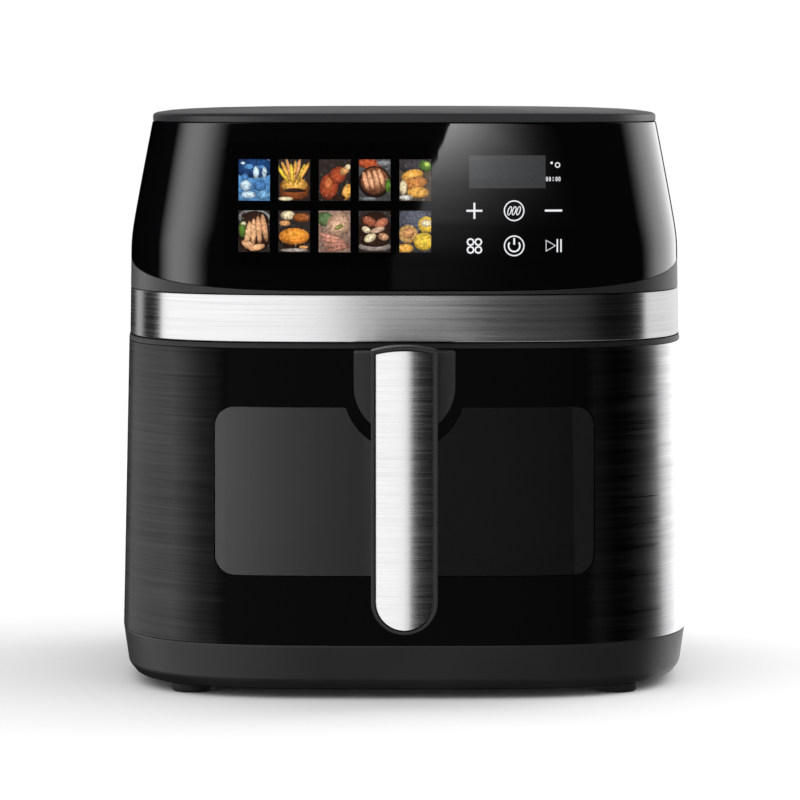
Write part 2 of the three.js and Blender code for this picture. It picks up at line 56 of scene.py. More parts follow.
# ---------------------------------------------------------------- modelling bench


def activate(obj: bpy.types.Object) -> None:
    """Leave edit mode and make one object the only selected one.

    Args:
        obj: Object to select.
    """
    if bpy.context.mode != "OBJECT":
        bpy.ops.object.mode_set(mode="OBJECT")
    bpy.ops.object.select_all(action="DESELECT")
    obj.select_set(True)
    bpy.context.view_layer.objects.active = obj


def clear_selection() -> None:
    """Leave edit mode with nothing selected, ready for a new primitive."""
    if bpy.context.mode != "OBJECT":
        bpy.ops.object.mode_set(mode="OBJECT")
    bpy.ops.object.select_all(action="DESELECT")


def edit(obj: bpy.types.Object) -> None:
    """Enter edit mode with the whole mesh selected.

    Args:
        obj: Mesh object to edit.
    """
    activate(obj)
    bpy.ops.object.mode_set(mode="EDIT")
    bpy.ops.mesh.select_all(action="SELECT")


def choose_faces(obj: bpy.types.Object, test: FaceTest) -> None:
    """Select faces of a mesh in edit mode by where they are or which way they look.

    Args:
        obj: Mesh object to edit.
        test: Gets a face's centre and its normal.
    """
    activate(obj)
    mesh = obj.data
    for group in (mesh.vertices, mesh.edges, mesh.polygons):
        group.foreach_set("select", [False] * len(group))
    bpy.context.tool_settings.mesh_select_mode = (False, False, True)
    for face in mesh.polygons:
        face.select = test(face.center, face.normal)
    bpy.ops.object.mode_set(mode="EDIT")


def apply_modifier(obj: bpy.types.Object, kind: str, **settings: object) -> None:
    """Add one modifier and apply it at once.

    Args:
        obj: Mesh object.
        kind: Modifier type.
        settings: Modifier properties.
    """
    activate(obj)
    modifier = obj.modifiers.new(kind.lower(), kind)
    for key, value in settings.items():
        setattr(modifier, key, value)
    bpy.ops.object.modifier_apply(modifier=modifier.name)


def soften(obj: bpy.types.Object, width: float, segments: int = 2, angle: float = 40) -> None:
    """Round every edge sharper than an angle.

    Args:
        obj: The mesh object.
        width: Width of the rounding in millimetres.
        segments: Faces across the rounding.
        angle: Smallest edge angle that is rounded, in degrees.
    """
    apply_modifier(
        obj, "BEVEL", width=width * MM, segments=segments, limit_method="ANGLE",
        angle_limit=math.radians(angle), harden_normals=False,
    )


def cut(obj: bpy.types.Object, tool: bpy.types.Object, operation: str = "DIFFERENCE") -> None:
    """Run one exact boolean and remove its tool.

    Args:
        obj: Mesh object that is changed.
        tool: Object that cuts it, used up.
        operation: DIFFERENCE, INTERSECT or UNION.
    """
    apply_modifier(obj, "BOOLEAN", object=tool, operation=operation, solver="EXACT")
    bpy.data.objects.remove(tool)


def join(pieces: Sequence[bpy.types.Object]) -> bpy.types.Object:
    """Join mesh objects into the first one.

    Args:
        pieces: Objects to join, all but the first used up.

    Returns:
        The first object.
    """
    activate(pieces[0])
    for piece in pieces:
        piece.select_set(True)
    bpy.ops.object.join()
    return pieces[0]


def settle(obj: bpy.types.Object) -> None:
    """Apply the object's place, turn and scale to its mesh."""
    activate(obj)
    bpy.ops.object.transform_apply(location=True, rotation=True, scale=True)


def rings(sections: Sequence[tuple[float, float, float]], capped: bool = True) -> None:
    """Extrude the selected outline through a stack of scaled sections, in edit mode.

    Args:
        sections: Each [x size, y size, height] in millimetres; the outline is at the first.
        capped: Whether the outline is a face, so that both ends stay closed.
    """
    extrude = bpy.ops.mesh.extrude_region_move if capped else bpy.ops.mesh.extrude_edges_move
    for (w0, d0, z0), (w1, d1, z1) in zip(sections, sections[1:]):
        extrude(TRANSFORM_OT_translate={"value": (0, 0, (z1 - z0) * MM)})
        bpy.ops.transform.resize(value=(w1 / w0, d1 / d0, 1), center_override=(0, 0, 0))


def turned(
    name: str, profile: Sequence[tuple[float, float]], segments: int = 48, hollow: bool = False
) -> bpy.types.Object:
    """Body of revolution about Z made by lofting a circle through a profile.

    Args:
        name: Object name.
        profile: [radius, height] pairs in millimetres.
        segments: Sides of the circle.
        hollow: Whether the profile closes on itself round a bore.

    Returns:
        The new object, on the Z axis.
    """
    clear_selection()
    radius, height = profile[0]
    bpy.ops.mesh.primitive_circle_add(
        vertices=segments, radius=radius * MM, location=(0, 0, height * MM),
        fill_type="NOTHING" if hollow else "NGON",
    )
    obj = bpy.context.object
    obj.name = name
    settle(obj)
    edit(obj)
    loop = [*profile, profile[0]] if hollow else profile
    rings([(r, r, z) for r, z in loop], capped=not hollow)
    bpy.ops.mesh.select_all(action="SELECT")
    if hollow:
        bpy.ops.mesh.remove_doubles(threshold=1e-6)
    bpy.ops.mesh.normals_make_consistent(inside=False)
    bpy.ops.object.mode_set(mode="OBJECT")
    return obj


def plate(
    name: str, size: tuple[float, float], corner: float, thick: float, segments: int = 8
) -> bpy.types.Object:
    """Flat plate with rounded corners, centred on the origin, its underside on z = 0.

    Args:
        name: Object name.
        size: Width and length in millimetres.
        corner: Corner radius in millimetres.
        thick: Thickness in millimetres.
        segments: Faces round each corner.

    Returns:
        The new object.
    """
    clear_selection()
    bpy.ops.mesh.primitive_plane_add(size=1)
    obj = bpy.context.object
    obj.name = name
    edit(obj)
    bpy.ops.transform.resize(value=(size[0] * MM, size[1] * MM, 1), center_override=(0, 0, 0))
    if corner:
        bpy.ops.mesh.bevel(
            offset=corner * MM, segments=segments, profile=0.5, affect="VERTICES"
        )
        bpy.ops.mesh.remove_doubles(threshold=1e-6)
    bpy.ops.mesh.extrude_region_move(TRANSFORM_OT_translate={"value": (0, 0, thick * MM)})
    bpy.ops.mesh.select_all(action="SELECT")
    bpy.ops.mesh.normals_make_consistent(inside=False)
    bpy.ops.object.mode_set(mode="OBJECT")
    return obj


def place(
    obj: bpy.types.Object, x: float = 0, y: float = 0, z: float = 0,
    turn: tuple[float, float, float] = (0, 0, 0),
) -> bpy.types.Object:
    """Turn and move an object, and apply both to its mesh.

    Args:
        obj: Object to place.
        x: Move across, in millimetres.
        y: Move in depth, in millimetres.
        z: Move up, in millimetres.
        turn: Turns about X, Y and Z in degrees, done before the move.

    Returns:
        The same object.
    """
    obj.rotation_euler = [math.radians(angle) for angle in turn]
    obj.location = (x * MM, y * MM, z * MM)
    settle(obj)
    return obj


def twin(obj: bpy.types.Object, name: str) -> bpy.types.Object:
    """Copy an object together with its mesh.

    Args:
        obj: Object to copy.
        name: Name of the copy.

    Returns:
        The copy, standing where the original stands.
    """
    activate(obj)
    bpy.ops.object.duplicate(linked=False)
    bpy.context.object.name = name
    return bpy.context.object


def repeated(
    obj: bpy.types.Object, spots: Sequence[tuple[float, float, float]]
) -> bpy.types.Object:
    """Copy an object to every spot and join the copies.

    Args:
        obj: Object to repeat, used up.
        spots: Move of each copy in millimetres.

    Returns:
        One object that holds every copy.
    """
    copies = [place(twin(obj, f"{obj.name}_{k}"), *spot) for k, spot in enumerate(spots)]
    bpy.data.objects.remove(obj)
    return join(copies)


def front_plate(
    name: str, span_x: tuple[float, float], span_z: tuple[float, float],
    span_y: tuple[float, float], corner: float, segments: int = 8,
) -> bpy.types.Object:
    """Rounded plate standing upright, given by its extents seen from the front.

    Args:
        name: Object name.
        span_x: Left and right edges in millimetres.
        span_z: Lower and upper edges in millimetres.
        span_y: Front and back faces in millimetres.
        corner: Corner radius in millimetres.
        segments: Faces round each corner.

    Returns:
        The new object.
    """
    size = (span_x[1] - span_x[0], span_z[1] - span_z[0])
    obj = plate(name, size, corner, span_y[1] - span_y[0], segments)
    return place(obj, sum(span_x) / 2, span_y[1], sum(span_z) / 2, (90, 0, 0))


def block(
    name: str, span_x: tuple[float, float], span_y: tuple[float, float],
    span_z: tuple[float, float],
) -> bpy.types.Object:
    """Plain box that cuts other meshes or is joined to them.

    Args:
        name: Object name.
        span_x: Extent across, in millimetres.
        span_y: Extent in depth, in millimetres.
        span_z: Extent in height, in millimetres.

    Returns:
        The new object.
    """
    clear_selection()
    centre = [sum(span) / 2 * MM for span in (span_x, span_y, span_z)]
    size = [(span[1] - span[0]) * MM for span in (span_x, span_y, span_z)]
    bpy.ops.mesh.primitive_cube_add(size=1, location=centre, scale=size)
    obj = bpy.context.object
    obj.name = name
    settle(obj)
    return obj


# ---------------------------------------------------------------- finishes


class Shader:
    """A material under construction: adds nodes, sets their values and joins them."""

    def __init__(self, name: str) -> None:
        """Start a material that holds one Principled shader and its output.

        Args:
            name: Name of the finish.
        """
        self.material = bpy.data.materials.new(f"finish_{name}")
        self.material.use_nodes = True
        self.tree = self.material.node_tree
        self.tree.nodes.clear()
        self.surface = self.tree.nodes.new("ShaderNodeBsdfPrincipled")
        self.output = self.tree.nodes.new("ShaderNodeOutputMaterial")
        self.tree.links.new(self.surface.outputs[0], self.output.inputs[0])

    def set(self, **values: object) -> None:
        """Set constants on the Principled shader, written with _ for spaces."""
        for key, value in values.items():
            self.surface.inputs[key.replace("_", " ")].default_value = value

    def feed(self, socket: str, source: bpy.types.NodeSocket) -> None:
        """Drive one input of the Principled shader."""
        self.tree.links.new(source, self.surface.inputs[socket])

    def add(self, kind: str, inputs: dict | None = None, **settings: object) -> bpy.types.Node:
        """Add a node, set its properties, and set or link its inputs.

        Args:
            kind: Node type without its ShaderNode prefix.
            inputs: Input name or number to a value or to another node's socket.
            settings: Node properties.

        Returns:
            The new node.
        """
        node = self.tree.nodes.new("ShaderNode" + kind)
        for key, value in settings.items():
            setattr(node, key, value)
        for key, value in (inputs or {}).items():
            if isinstance(value, bpy.types.NodeSocket):
                self.tree.links.new(value, node.inputs[key])
            else:
                node.inputs[key].default_value = value
        return node

    def place(self, scale: Sequence[float]) -> bpy.types.NodeSocket:
        """Object coordinates stretched by a scale per axis."""
        source = self.add("TexCoord").outputs["Object"]
        return self.add("Mapping", {"Vector": source, "Scale": tuple(scale)}).outputs[0]

    def noise(
        self, scale: Sequence[float], detail: float = 3, distortion: float = 0,
        roughness: float = 0.55,
    ) -> bpy.types.NodeSocket:
        """Noise value over stretched Object coordinates.

        Args:
            scale: Pattern frequency along each axis, per metre.
            detail: Octaves of finer noise.
            distortion: How far the pattern is swirled.
            roughness: Weight of the finer octaves.

        Returns:
            Value between 0 and 1.
        """
        inputs = {
            "Vector": self.place(scale), "Scale": 1.0, "Detail": detail,
            "Distortion": distortion, "Roughness": roughness,
        }
        return self.add("TexNoise", inputs).outputs["Fac"]

    def span(
        self, source: bpy.types.NodeSocket, low: float, high: float,
        start: float = 0.3, end: float = 0.7,
    ) -> bpy.types.NodeSocket:
        """Map a value from one span on to another, clamped.

        Args:
            source: Value to map.
            low: Result at the start.
            high: Result at the end.
            start: Value that gives low.
            end: Value that gives high.

        Returns:
            The mapped value.
        """
        inputs = {"Value": source, "From Min": start, "From Max": end,
                  "To Min": low, "To Max": high}
        return self.add("MapRange", inputs).outputs["Result"]

    def math(self, operation: str, *values: object) -> bpy.types.NodeSocket:
        """One arithmetic node."""
        return self.add("Math", dict(enumerate(values)), operation=operation).outputs[0]

    def blend(
        self, factor: bpy.types.NodeSocket, first: object, second: object
    ) -> bpy.types.NodeSocket:
        """Mix two colours by a factor.

        Args:
            factor: Share of the second colour.
            first: Colour or colour socket at factor 0.
            second: Colour or colour socket at factor 1.

        Returns:
            The mixed colour.
        """
        node = self.add("Mix", {"Factor": factor}, data_type="RGBA")
        colours = [i for i in node.inputs if i.type == "RGBA"]
        for socket, value in zip(colours, (first, second)):
            if isinstance(value, bpy.types.NodeSocket):
                self.tree.links.new(value, socket)
            else:
                socket.default_value = (*value[:3], 1)
        return next(o for o in node.outputs if o.type == "RGBA")

    def relief(self, height: bpy.types.NodeSocket, depth: float, strength: float = 1.0) -> None:
        """Bump the surface by a height map whose full range is depth millimetres."""
        bump = self.add("Bump", {"Height": height, "Distance": depth * MM, "Strength": strength})
        self.feed("Normal", bump.outputs["Normal"])


Colour = tuple[float, float, float]


def shade(colour: Colour, factor: float) -> Colour:
    """Colour made lighter or darker by a factor."""
    return tuple(min(1.0, channel * factor) for channel in colour)


@dataclass(frozen=True)
class Moulded:
    """Moulded plastic or rubber with a fine spark grain and soft handling marks."""

    name: str
    colour: Colour
    roughness: float = 0.5
    grain: float = 0.5
    depth: float = 0.02
    level: float = 0.5

    def build(self) -> bpy.types.Material:
        """Make the material.

        Returns:
            The new material.
        """
        s = Shader(self.name)
        cloud = s.noise((14, 14, 14), 2)
        speck = s.noise((1000 / self.grain,) * 3, 2)
        base = s.blend(s.span(cloud, 0, 1), shade(self.colour, 0.86), shade(self.colour, 1.14))
        s.feed("Base Color", base)
        rough = s.math("ADD", s.span(cloud, -0.05, 0.05), s.span(speck, -0.06, 0.06))
        s.feed("Roughness", s.math("ADD", rough, self.roughness))
        s.set(Specular_IOR_Level=self.level)
        s.relief(speck, self.depth, 0.7)
        return s.material


@dataclass(frozen=True)
class Gloss:
    """Polished plastic or lacquered coat with a trace of ripple and faint smudges."""

    name: str
    colour: Colour
    roughness: float = 0.05
    ripple: float = 0.004

    def build(self) -> bpy.types.Material:
        """Make the material.

        Returns:
            The new material.
        """
        s = Shader(self.name)
        smudge = s.noise((22, 22, 16), 4, 0.6)
        dust = s.noise((900, 900, 900), 1)
        s.feed("Base Color", s.blend(s.span(dust, 0, 1, 0.68, 0.8), self.colour,
                                     shade(self.colour, 2.2)))
        s.feed("Roughness", s.span(smudge, self.roughness, self.roughness * 2.0, 0.45, 0.75))
        s.relief(s.noise((60, 60, 60), 1), self.ripple, 0.5)
        return s.material


def brushing(s: Shader, along: float, across: float, axis: int = 2) -> bpy.types.NodeSocket:
    """Streaks that run straight across one axis.

    Args:
        s: Shader to add the nodes to.
        along: Pattern frequency along the streaks, per metre.
        across: Pattern frequency across the streaks, per metre.
        axis: The Object axis that the streaks are stacked along.

    Returns:
        Streak value between 0 and 1.
    """
    fine_scale = [across if i == axis else along for i in range(3)]
    coarse_scale = [across * 0.22 if i == axis else along * 0.45 for i in range(3)]
    fine = s.noise(fine_scale, 2, 0.0)
    coarse = s.noise(coarse_scale, 2, 0.2)
    return s.math("ADD", s.math("MULTIPLY", fine, 0.65), s.math("MULTIPLY", coarse, 0.35))


@dataclass(frozen=True)
class Brushed:
    """Brushed metal: streaks in tone, roughness and relief with a stretched highlight."""

    name: str
    colour: Colour
    roughness: float = 0.28
    axis: int = 2
    along: float = 9
    across: float = 1900
    contrast: float = 0.16
    anisotropy: float = 0.6

    def build(self) -> bpy.types.Material:
        """Make the material.

        Returns:
            The new material.
        """
        s = Shader(self.name)
        streak = brushing(s, self.along, self.across, self.axis)
        s.feed("Base Color", s.blend(s.span(streak, 0, 1, 0.32, 0.68),
                                     shade(self.colour, 1 - self.contrast),
                                     shade(self.colour, 1 + self.contrast)))
        s.feed("Roughness", s.span(streak, self.roughness * 0.82, self.roughness * 1.2))
        s.set(Metallic=1.0, Anisotropic=self.anisotropy, Anisotropic_Rotation=0.25)
        tangent = s.add("Tangent", direction_type="RADIAL", axis="Z")
        s.feed("Tangent", tangent.outputs[0])
        s.relief(streak, 0.012, 0.5)
        return s.material


@dataclass(frozen=True)
class WrappedFront:
    """Drawer skin: dark brushed metal at the corners, its middle painted near black as painted
    shade.
    """

    name: str
    # painted shade: near-black colour of the middle, standing in for the dark reflections on the
    # same brushed metal
    shaded_middle: Colour = (0.0035, 0.0035, 0.004)
    metal: Colour = (0.30, 0.30, 0.305)
    start: float = 97
    end: float = 126
    wander: float = 9
    contrast: float = 0.3

    def build(self) -> bpy.types.Material:
        """Make the material.

        Returns:
            The new material.
        """
        s = Shader(self.name)
        place_at = s.add("TexCoord").outputs["Object"]
        side = s.add("SeparateXYZ", {0: place_at}).outputs["X"]
        streak = brushing(s, 11, 1300)
        waves = s.noise((7, 7, 210), 3, 1.4)
        wander = s.math("MULTIPLY", s.math("SUBTRACT", waves, 0.5), self.wander * MM)
        reach = s.math("ADD", s.math("ABSOLUTE", side), wander)
        # share of the brushed-metal colour, rising towards the corners; the rest is the
        # painted-shade middle
        mask = s.span(reach, 0, 1, self.start * MM, self.end * MM)
        mask = s.math("POWER", mask, 1.6)
        tone = s.blend(s.span(streak, 0, 1, 0.3, 0.7), shade(self.metal, 1 - self.contrast),
                       shade(self.metal, 1 + self.contrast))
        s.feed("Base Color", s.blend(mask, self.shaded_middle, tone))
        rough = s.math("ADD", s.span(streak, 0.27, 0.40), s.span(waves, -0.05, 0.05))
        s.feed("Roughness", s.math("ADD", s.math("MULTIPLY", mask, rough),
                                   s.math("MULTIPLY", s.math("SUBTRACT", 1.0, mask), 0.16)))
        s.set(Metallic=1.0, Coat_Weight=0.25, Coat_Roughness=0.12)
        height = s.math("MULTIPLY", s.math("ADD", streak, s.math("MULTIPLY", waves, 1.6)), mask)
        s.relief(height, 0.03, 0.5)
        return s.material


@dataclass(frozen=True)
class Metal:
    """Plain metal such as sheet, zinc plate or a coated pan, with mottling and light scuffs."""

    name: str
    colour: Colour
    roughness: float = 0.35
    metallic: float = 1.0
    mottle: float = 0.12
    speck: float = 260

    def build(self) -> bpy.types.Material:
        """Make the material.

        Returns:
            The new material.
        """
        s = Shader(self.name)
        cloud = s.noise((30, 30, 30), 4, 0.4)
        grain = s.noise((self.speck,) * 3, 3)
        scuff = s.noise((40, 900, 700), 1)
        tone = s.blend(s.span(cloud, 0, 1), shade(self.colour, 1 - self.mottle),
                       shade(self.colour, 1 + self.mottle))
        s.feed("Base Color", s.blend(s.span(scuff, 0, 0.35, 0.7, 0.78), tone,
                                     shade(self.colour, 1.8)))
        s.feed("Roughness", s.math("ADD", s.span(cloud, -0.05, 0.05),
                                   s.span(grain, self.roughness - 0.05, self.roughness + 0.05)))
        s.set(Metallic=self.metallic)
        s.relief(grain, 0.02, 0.3)
        return s.material


@dataclass(frozen=True)
class Glazing:
    """Glass pane, tinted through its body, with faint wipe marks."""

    name: str
    colour: Colour
    roughness: float = 0.02
    clear: float = 1.0

    def build(self) -> bpy.types.Material:
        """Make the material.

        Returns:
            The new material.
        """
        s = Shader(self.name)
        wipe = s.noise((16, 16, 60), 4, 0.8)
        s.feed("Roughness", s.span(wipe, self.roughness, self.roughness + 0.04, 0.5, 0.8))
        s.feed("Base Color", s.blend(s.span(wipe, 0, 1), self.colour, shade(self.colour, 1.12)))
        s.set(Transmission_Weight=self.clear, IOR=1.5)
        return s.material


@dataclass(frozen=True)
class Lit:
    """Printed or back-lit mark behind the polished panel face; for the readout face, a faint
    painted glow.
    """

    name: str
    colour: Colour
    strength: float = 1.0
    flicker: float = 0.06

    def build(self) -> bpy.types.Material:
        """Make the material.

        Returns:
            The new material.
        """
        s = Shader(self.name)
        cell = s.noise((1400, 1400, 1400), 1)
        glow = s.blend(s.span(cell, 0, 1), shade(self.colour, 1 - self.flicker), self.colour)
        s.set(Base_Color=(0.002, 0.002, 0.002, 1), Roughness=0.06, Emission_Strength=self.strength)
        s.feed("Emission Color", glow)
        return s.material


@dataclass(frozen=True)
class MenuPicture:
    """Menu tile picture: painted tints broken up by crumbs, shadows and small glints."""

    name: str
    strength: float = 1.0

    def build(self) -> bpy.types.Material:
        """Make the material.

        Returns:
            The new material.
        """
        s = Shader(self.name)
        tint = s.add("Attribute", attribute_name="tint").outputs["Color"]
        crumb = s.noise((640, 640, 640), 4, 0.8, 0.6)
        fold = s.noise((260, 260, 300), 2, 1.6)
        dark = s.blend(s.span(crumb, 0.5, 0.0, 0.38, 0.56), tint, (0.012, 0.007, 0.004))
        shaded = s.blend(s.span(fold, 0.0, 0.4, 0.52, 0.66), dark, (0.02, 0.01, 0.006))
        glint = s.blend(s.span(crumb, 0.0, 0.5, 0.64, 0.76), shaded, (1.0, 0.88, 0.7))
        s.set(Base_Color=(0.002, 0.002, 0.002, 1), Roughness=0.06, Emission_Strength=self.strength)
        s.feed("Emission Color", glint)
        return s.material


class Finish(Enum):
    """Every finish on the object, made once when first used."""

    DARK_PLASTIC = Moulded("dark_plastic", (0.0105, 0.0108, 0.0115), 0.42, 0.45, 0.015)
    LID_PLASTIC = Moulded("lid_plastic", (0.022, 0.023, 0.024), 0.4, 0.4, 0.012)
    INNER_PLASTIC = Moulded("inner_plastic", (0.007, 0.007, 0.0075), 0.48, 0.6, 0.02)
    HANDLE_FRAME = Moulded("handle_frame_plastic", (0.006, 0.006, 0.0065), 0.3, 0.4, 0.008)
    RUBBER = Moulded("rubber", (0.008, 0.008, 0.008), 0.75, 0.8, 0.04, 0.3)
    SILICONE = Moulded("silicone", (0.02, 0.02, 0.021), 0.6, 0.9, 0.02)
    LAMINATE = Moulded("board_laminate", (0.010, 0.085, 0.035), 0.35, 0.7, 0.02)
    CERAMIC = Moulded("lamp_ceramic", (0.72, 0.69, 0.62), 0.4, 0.7, 0.02)
    PANEL_GLOSS = Gloss("panel_gloss", (0.0012, 0.0012, 0.0014), 0.018, 0.002)
    DISPLAY_GLASS = Gloss("display_glass", (0.0008, 0.0008, 0.001), 0.018, 0.001)
    BAND_STEEL = Brushed("band_steel", (0.62, 0.62, 0.625), 0.26)
    HANDLE_STEEL = Brushed("handle_steel", (0.62, 0.62, 0.625), 0.25, 2, 30, 2200, 0.12)
    BODY_STEEL = Brushed("body_steel", (0.30, 0.30, 0.305), 0.34, 2, 9, 1300, 0.4)
    DRAWER_SKIN = WrappedFront("drawer_skin")
    SHEET = Metal("aluminised_sheet", (0.55, 0.55, 0.56), 0.38)
    ZINC = Metal("zinc_plate", (0.62, 0.63, 0.65), 0.3)
    HEATER = Metal("heater_sheath", (0.16, 0.14, 0.13), 0.42, 1.0, 0.3)
    COPPER = Metal("enamelled_copper", (0.55, 0.2, 0.08), 0.3)
    NONSTICK = Metal("nonstick_coating", (0.022, 0.022, 0.023), 0.42, 0.25, 0.15, 1500)
    SMOKED = Glazing("smoked_glass", (0.03, 0.03, 0.032))
    CLEAR = Glazing("clear_glass", (0.86, 0.9, 0.9))
    MENU = MenuPicture("menu_picture", 1.15)
    MARK = Lit("panel_mark", (0.9, 0.91, 0.93), 0.95)
    # painted light: the readout face is no lamp; its faint grey glow stands in for the light it
    # would reflect
    READOUT = Lit("readout_face", (0.040, 0.042, 0.045), 1.0, 0.2)

    def material(self) -> bpy.types.Material:
        """The finish's material, built on first use."""
        return bpy.data.materials.get(f"finish_{self.value.name}") or self.value.build()


def finish_piece(
    obj: bpy.types.Object, look: Finish, body: str,
    stands_for: Sequence[str] = (), angle: float = 32,
) -> bpy.types.Object:
    """Move a finished mesh into the frame, dress it and hand it to its body.

    Args:
        obj: Mesh modelled about the cabinet's middle.
        look: Finish it gets.
        body: CAD body it rides on.
        stands_for: CAD nodes it replaces.
        angle: Edges flatter than this are shaded smooth, in degrees.

    Returns:
        The same object.
    """
    place(obj, y=SHIFT_Y / MM)
    apply_modifier(obj, "WELD", merge_threshold=0.002 * MM)
    bpy.ops.object.shade_smooth_by_angle(angle=math.radians(angle))
    apply_modifier(obj, "WEIGHTED_NORMAL", keep_sharp=True, weight=50)
    obj.data.materials.clear()
    obj.data.materials.append(look.material())
    obj.data.name = obj.name
    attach(obj, body)
    if stands_for:
        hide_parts(*stands_for)
    log.info("piece %s on %s, %d faces", obj.name, body, len(obj.data.polygons))
    return obj


def dress(look: Finish, names: Iterable[str]) -> None:
    """Give carried-over CAD nodes a finish through their material slots.

    Args:
        look: Finish they get.
        names: Names of the nodes.
    """
    for name in names:
        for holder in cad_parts[name].material_slots:
            holder.material = look.material()
        log.info("node %s dressed as %s", name, look.value.name)


# ---------------------------------------------------------------- cabinet form


@dataclass
class CabinetForm:
    """Outside shape that every cabinet part shares: a rounded square with a waist profile."""

    power: float = 3.6
    corner_faces: int = 36
    depth_ratio: float = 165 / 158.4
    skin_levels: tuple[float, float] = (30, 189.7)
    head_levels: tuple[float, float] = (219.2, 310.8)
    seam_y: float = -45
    seam_gap: float = 0.3
    profile: tuple[tuple[float, float], ...] = (
        (5, 151.9), (10, 155.6), (30, 158.4), (190, 154.8), (193, 154.2), (219, 153.8),
        (236, 153.55), (240, 153.51), (244, 153.35), (248, 153.01), (252, 152.49),
        (256, 151.85), (260, 151.15), (266, 150.07), (273, 148.79), (281, 147.3),
        (290, 145.59), (300, 143.67), (311, 141.5),
    )

    def half_width(self, z: float) -> float:
        """Half the cabinet's width at a height.

        Args:
            z: Height in millimetres.

        Returns:
            Half width in millimetres.
        """
        if z <= self.profile[0][0]:
            return self.profile[0][1]
        for (z0, w0), (z1, w1) in zip(self.profile, self.profile[1:]):
            if z <= z1:
                return w0 + (w1 - w0) * (z - z0) / (z1 - z0)
        return self.profile[-1][1]

    def outline(self, name: str, width: float, depth: float, z: float) -> bpy.types.Object:
        """One outline face, left in edit mode.

        Args:
            name: Object name.
            width: Half width in millimetres.
            depth: Half depth in millimetres.
            z: Height in millimetres.

        Returns:
            The new object.
        """
        clear_selection()
        bpy.ops.mesh.primitive_plane_add(size=2)
        obj = bpy.context.object
        obj.name = name
        edit(obj)
        bpy.ops.mesh.bevel(
            offset=1.0, segments=self.corner_faces, profile=2 ** (-2 / self.power),
            affect="VERTICES", clamp_overlap=True,
        )
        bpy.ops.mesh.remove_doubles(threshold=1e-5)
        bpy.ops.transform.resize(value=(width * MM, depth * MM, 1), center_override=(0, 0, 0))
        bpy.ops.transform.translate(value=(0, 0, z * MM))
        return obj

    def stack(
        self, name: str, levels: Sequence[tuple[float, float]], inset: float = 0
    ) -> bpy.types.Object:
        """Closed solid lofted through a stack of outlines.

        Args:
            name: Object name.
            levels: [height, half width] pairs in millimetres.
            inset: How far every outline is drawn in, in millimetres.

        Returns:
            The new object.
        """
        sections = [(w - inset, w * self.depth_ratio - inset, z) for z, w in levels]
        obj = self.outline(name, *sections[0])
        rings(sections)
        bpy.ops.mesh.select_all(action="SELECT")
        bpy.ops.mesh.normals_make_consistent(inside=False)
        bpy.ops.object.mode_set(mode="OBJECT")
        return obj

    def solid(self, name: str, z0: float, z1: float, inset: float = 0) -> bpy.types.Object:
        """Closed slice of the cabinet between two heights.

        Args:
            name: Object name.
            z0: Lower height in millimetres.
            z1: Upper height in millimetres.
            inset: How far the outline is drawn in, in millimetres.

        Returns:
            The new object.
        """
        knots = [z for z, _ in self.profile if z0 + 2.5 < z < z1 - 2.5]
        if z1 - z0 > 6:
            knots = [z0 + 1.3, *knots, z1 - 1.3]
        return self.stack(name, [(z, self.half_width(z)) for z in (z0, *knots, z1)], inset)

    def shell(
        self, name: str, z0: float, z1: float, wall: float, inset: float = 0
    ) -> bpy.types.Object:
        """Open ring of wall between two heights, thickened inwards.

        Args:
            name: Object name.
            z0: Lower height in millimetres.
            z1: Upper height in millimetres.
            wall: Wall thickness in millimetres.
            inset: How far the outer face is drawn in, in millimetres.

        Returns:
            The new object.
        """
        obj = self.solid(name, z0, z1, inset)
        choose_faces(obj, lambda centre, normal: abs(normal.z) > 0.9)
        bpy.ops.mesh.delete(type="FACE")
        apply_modifier(obj, "SOLIDIFY", thickness=wall * MM, offset=-1, use_even_offset=True)
        return obj

    def keep(
        self, obj: bpy.types.Object, point: tuple[float, float, float],
        normal: tuple[float, float, float],
    ) -> bpy.types.Object:
        """Cut an object by a plane, keep one side and close it.

        Args:
            obj: Mesh object.
            point: Point of the plane in millimetres.
            normal: Direction that points away from the side that is kept.

        Returns:
            The same object.
        """
        edit(obj)
        bpy.ops.mesh.bisect(
            plane_co=[value * MM for value in point], plane_no=normal, clear_outer=True,
            use_fill=True,
        )
        bpy.ops.object.mode_set(mode="OBJECT")
        return obj


# ---------------------------------------------------------------- base and feet


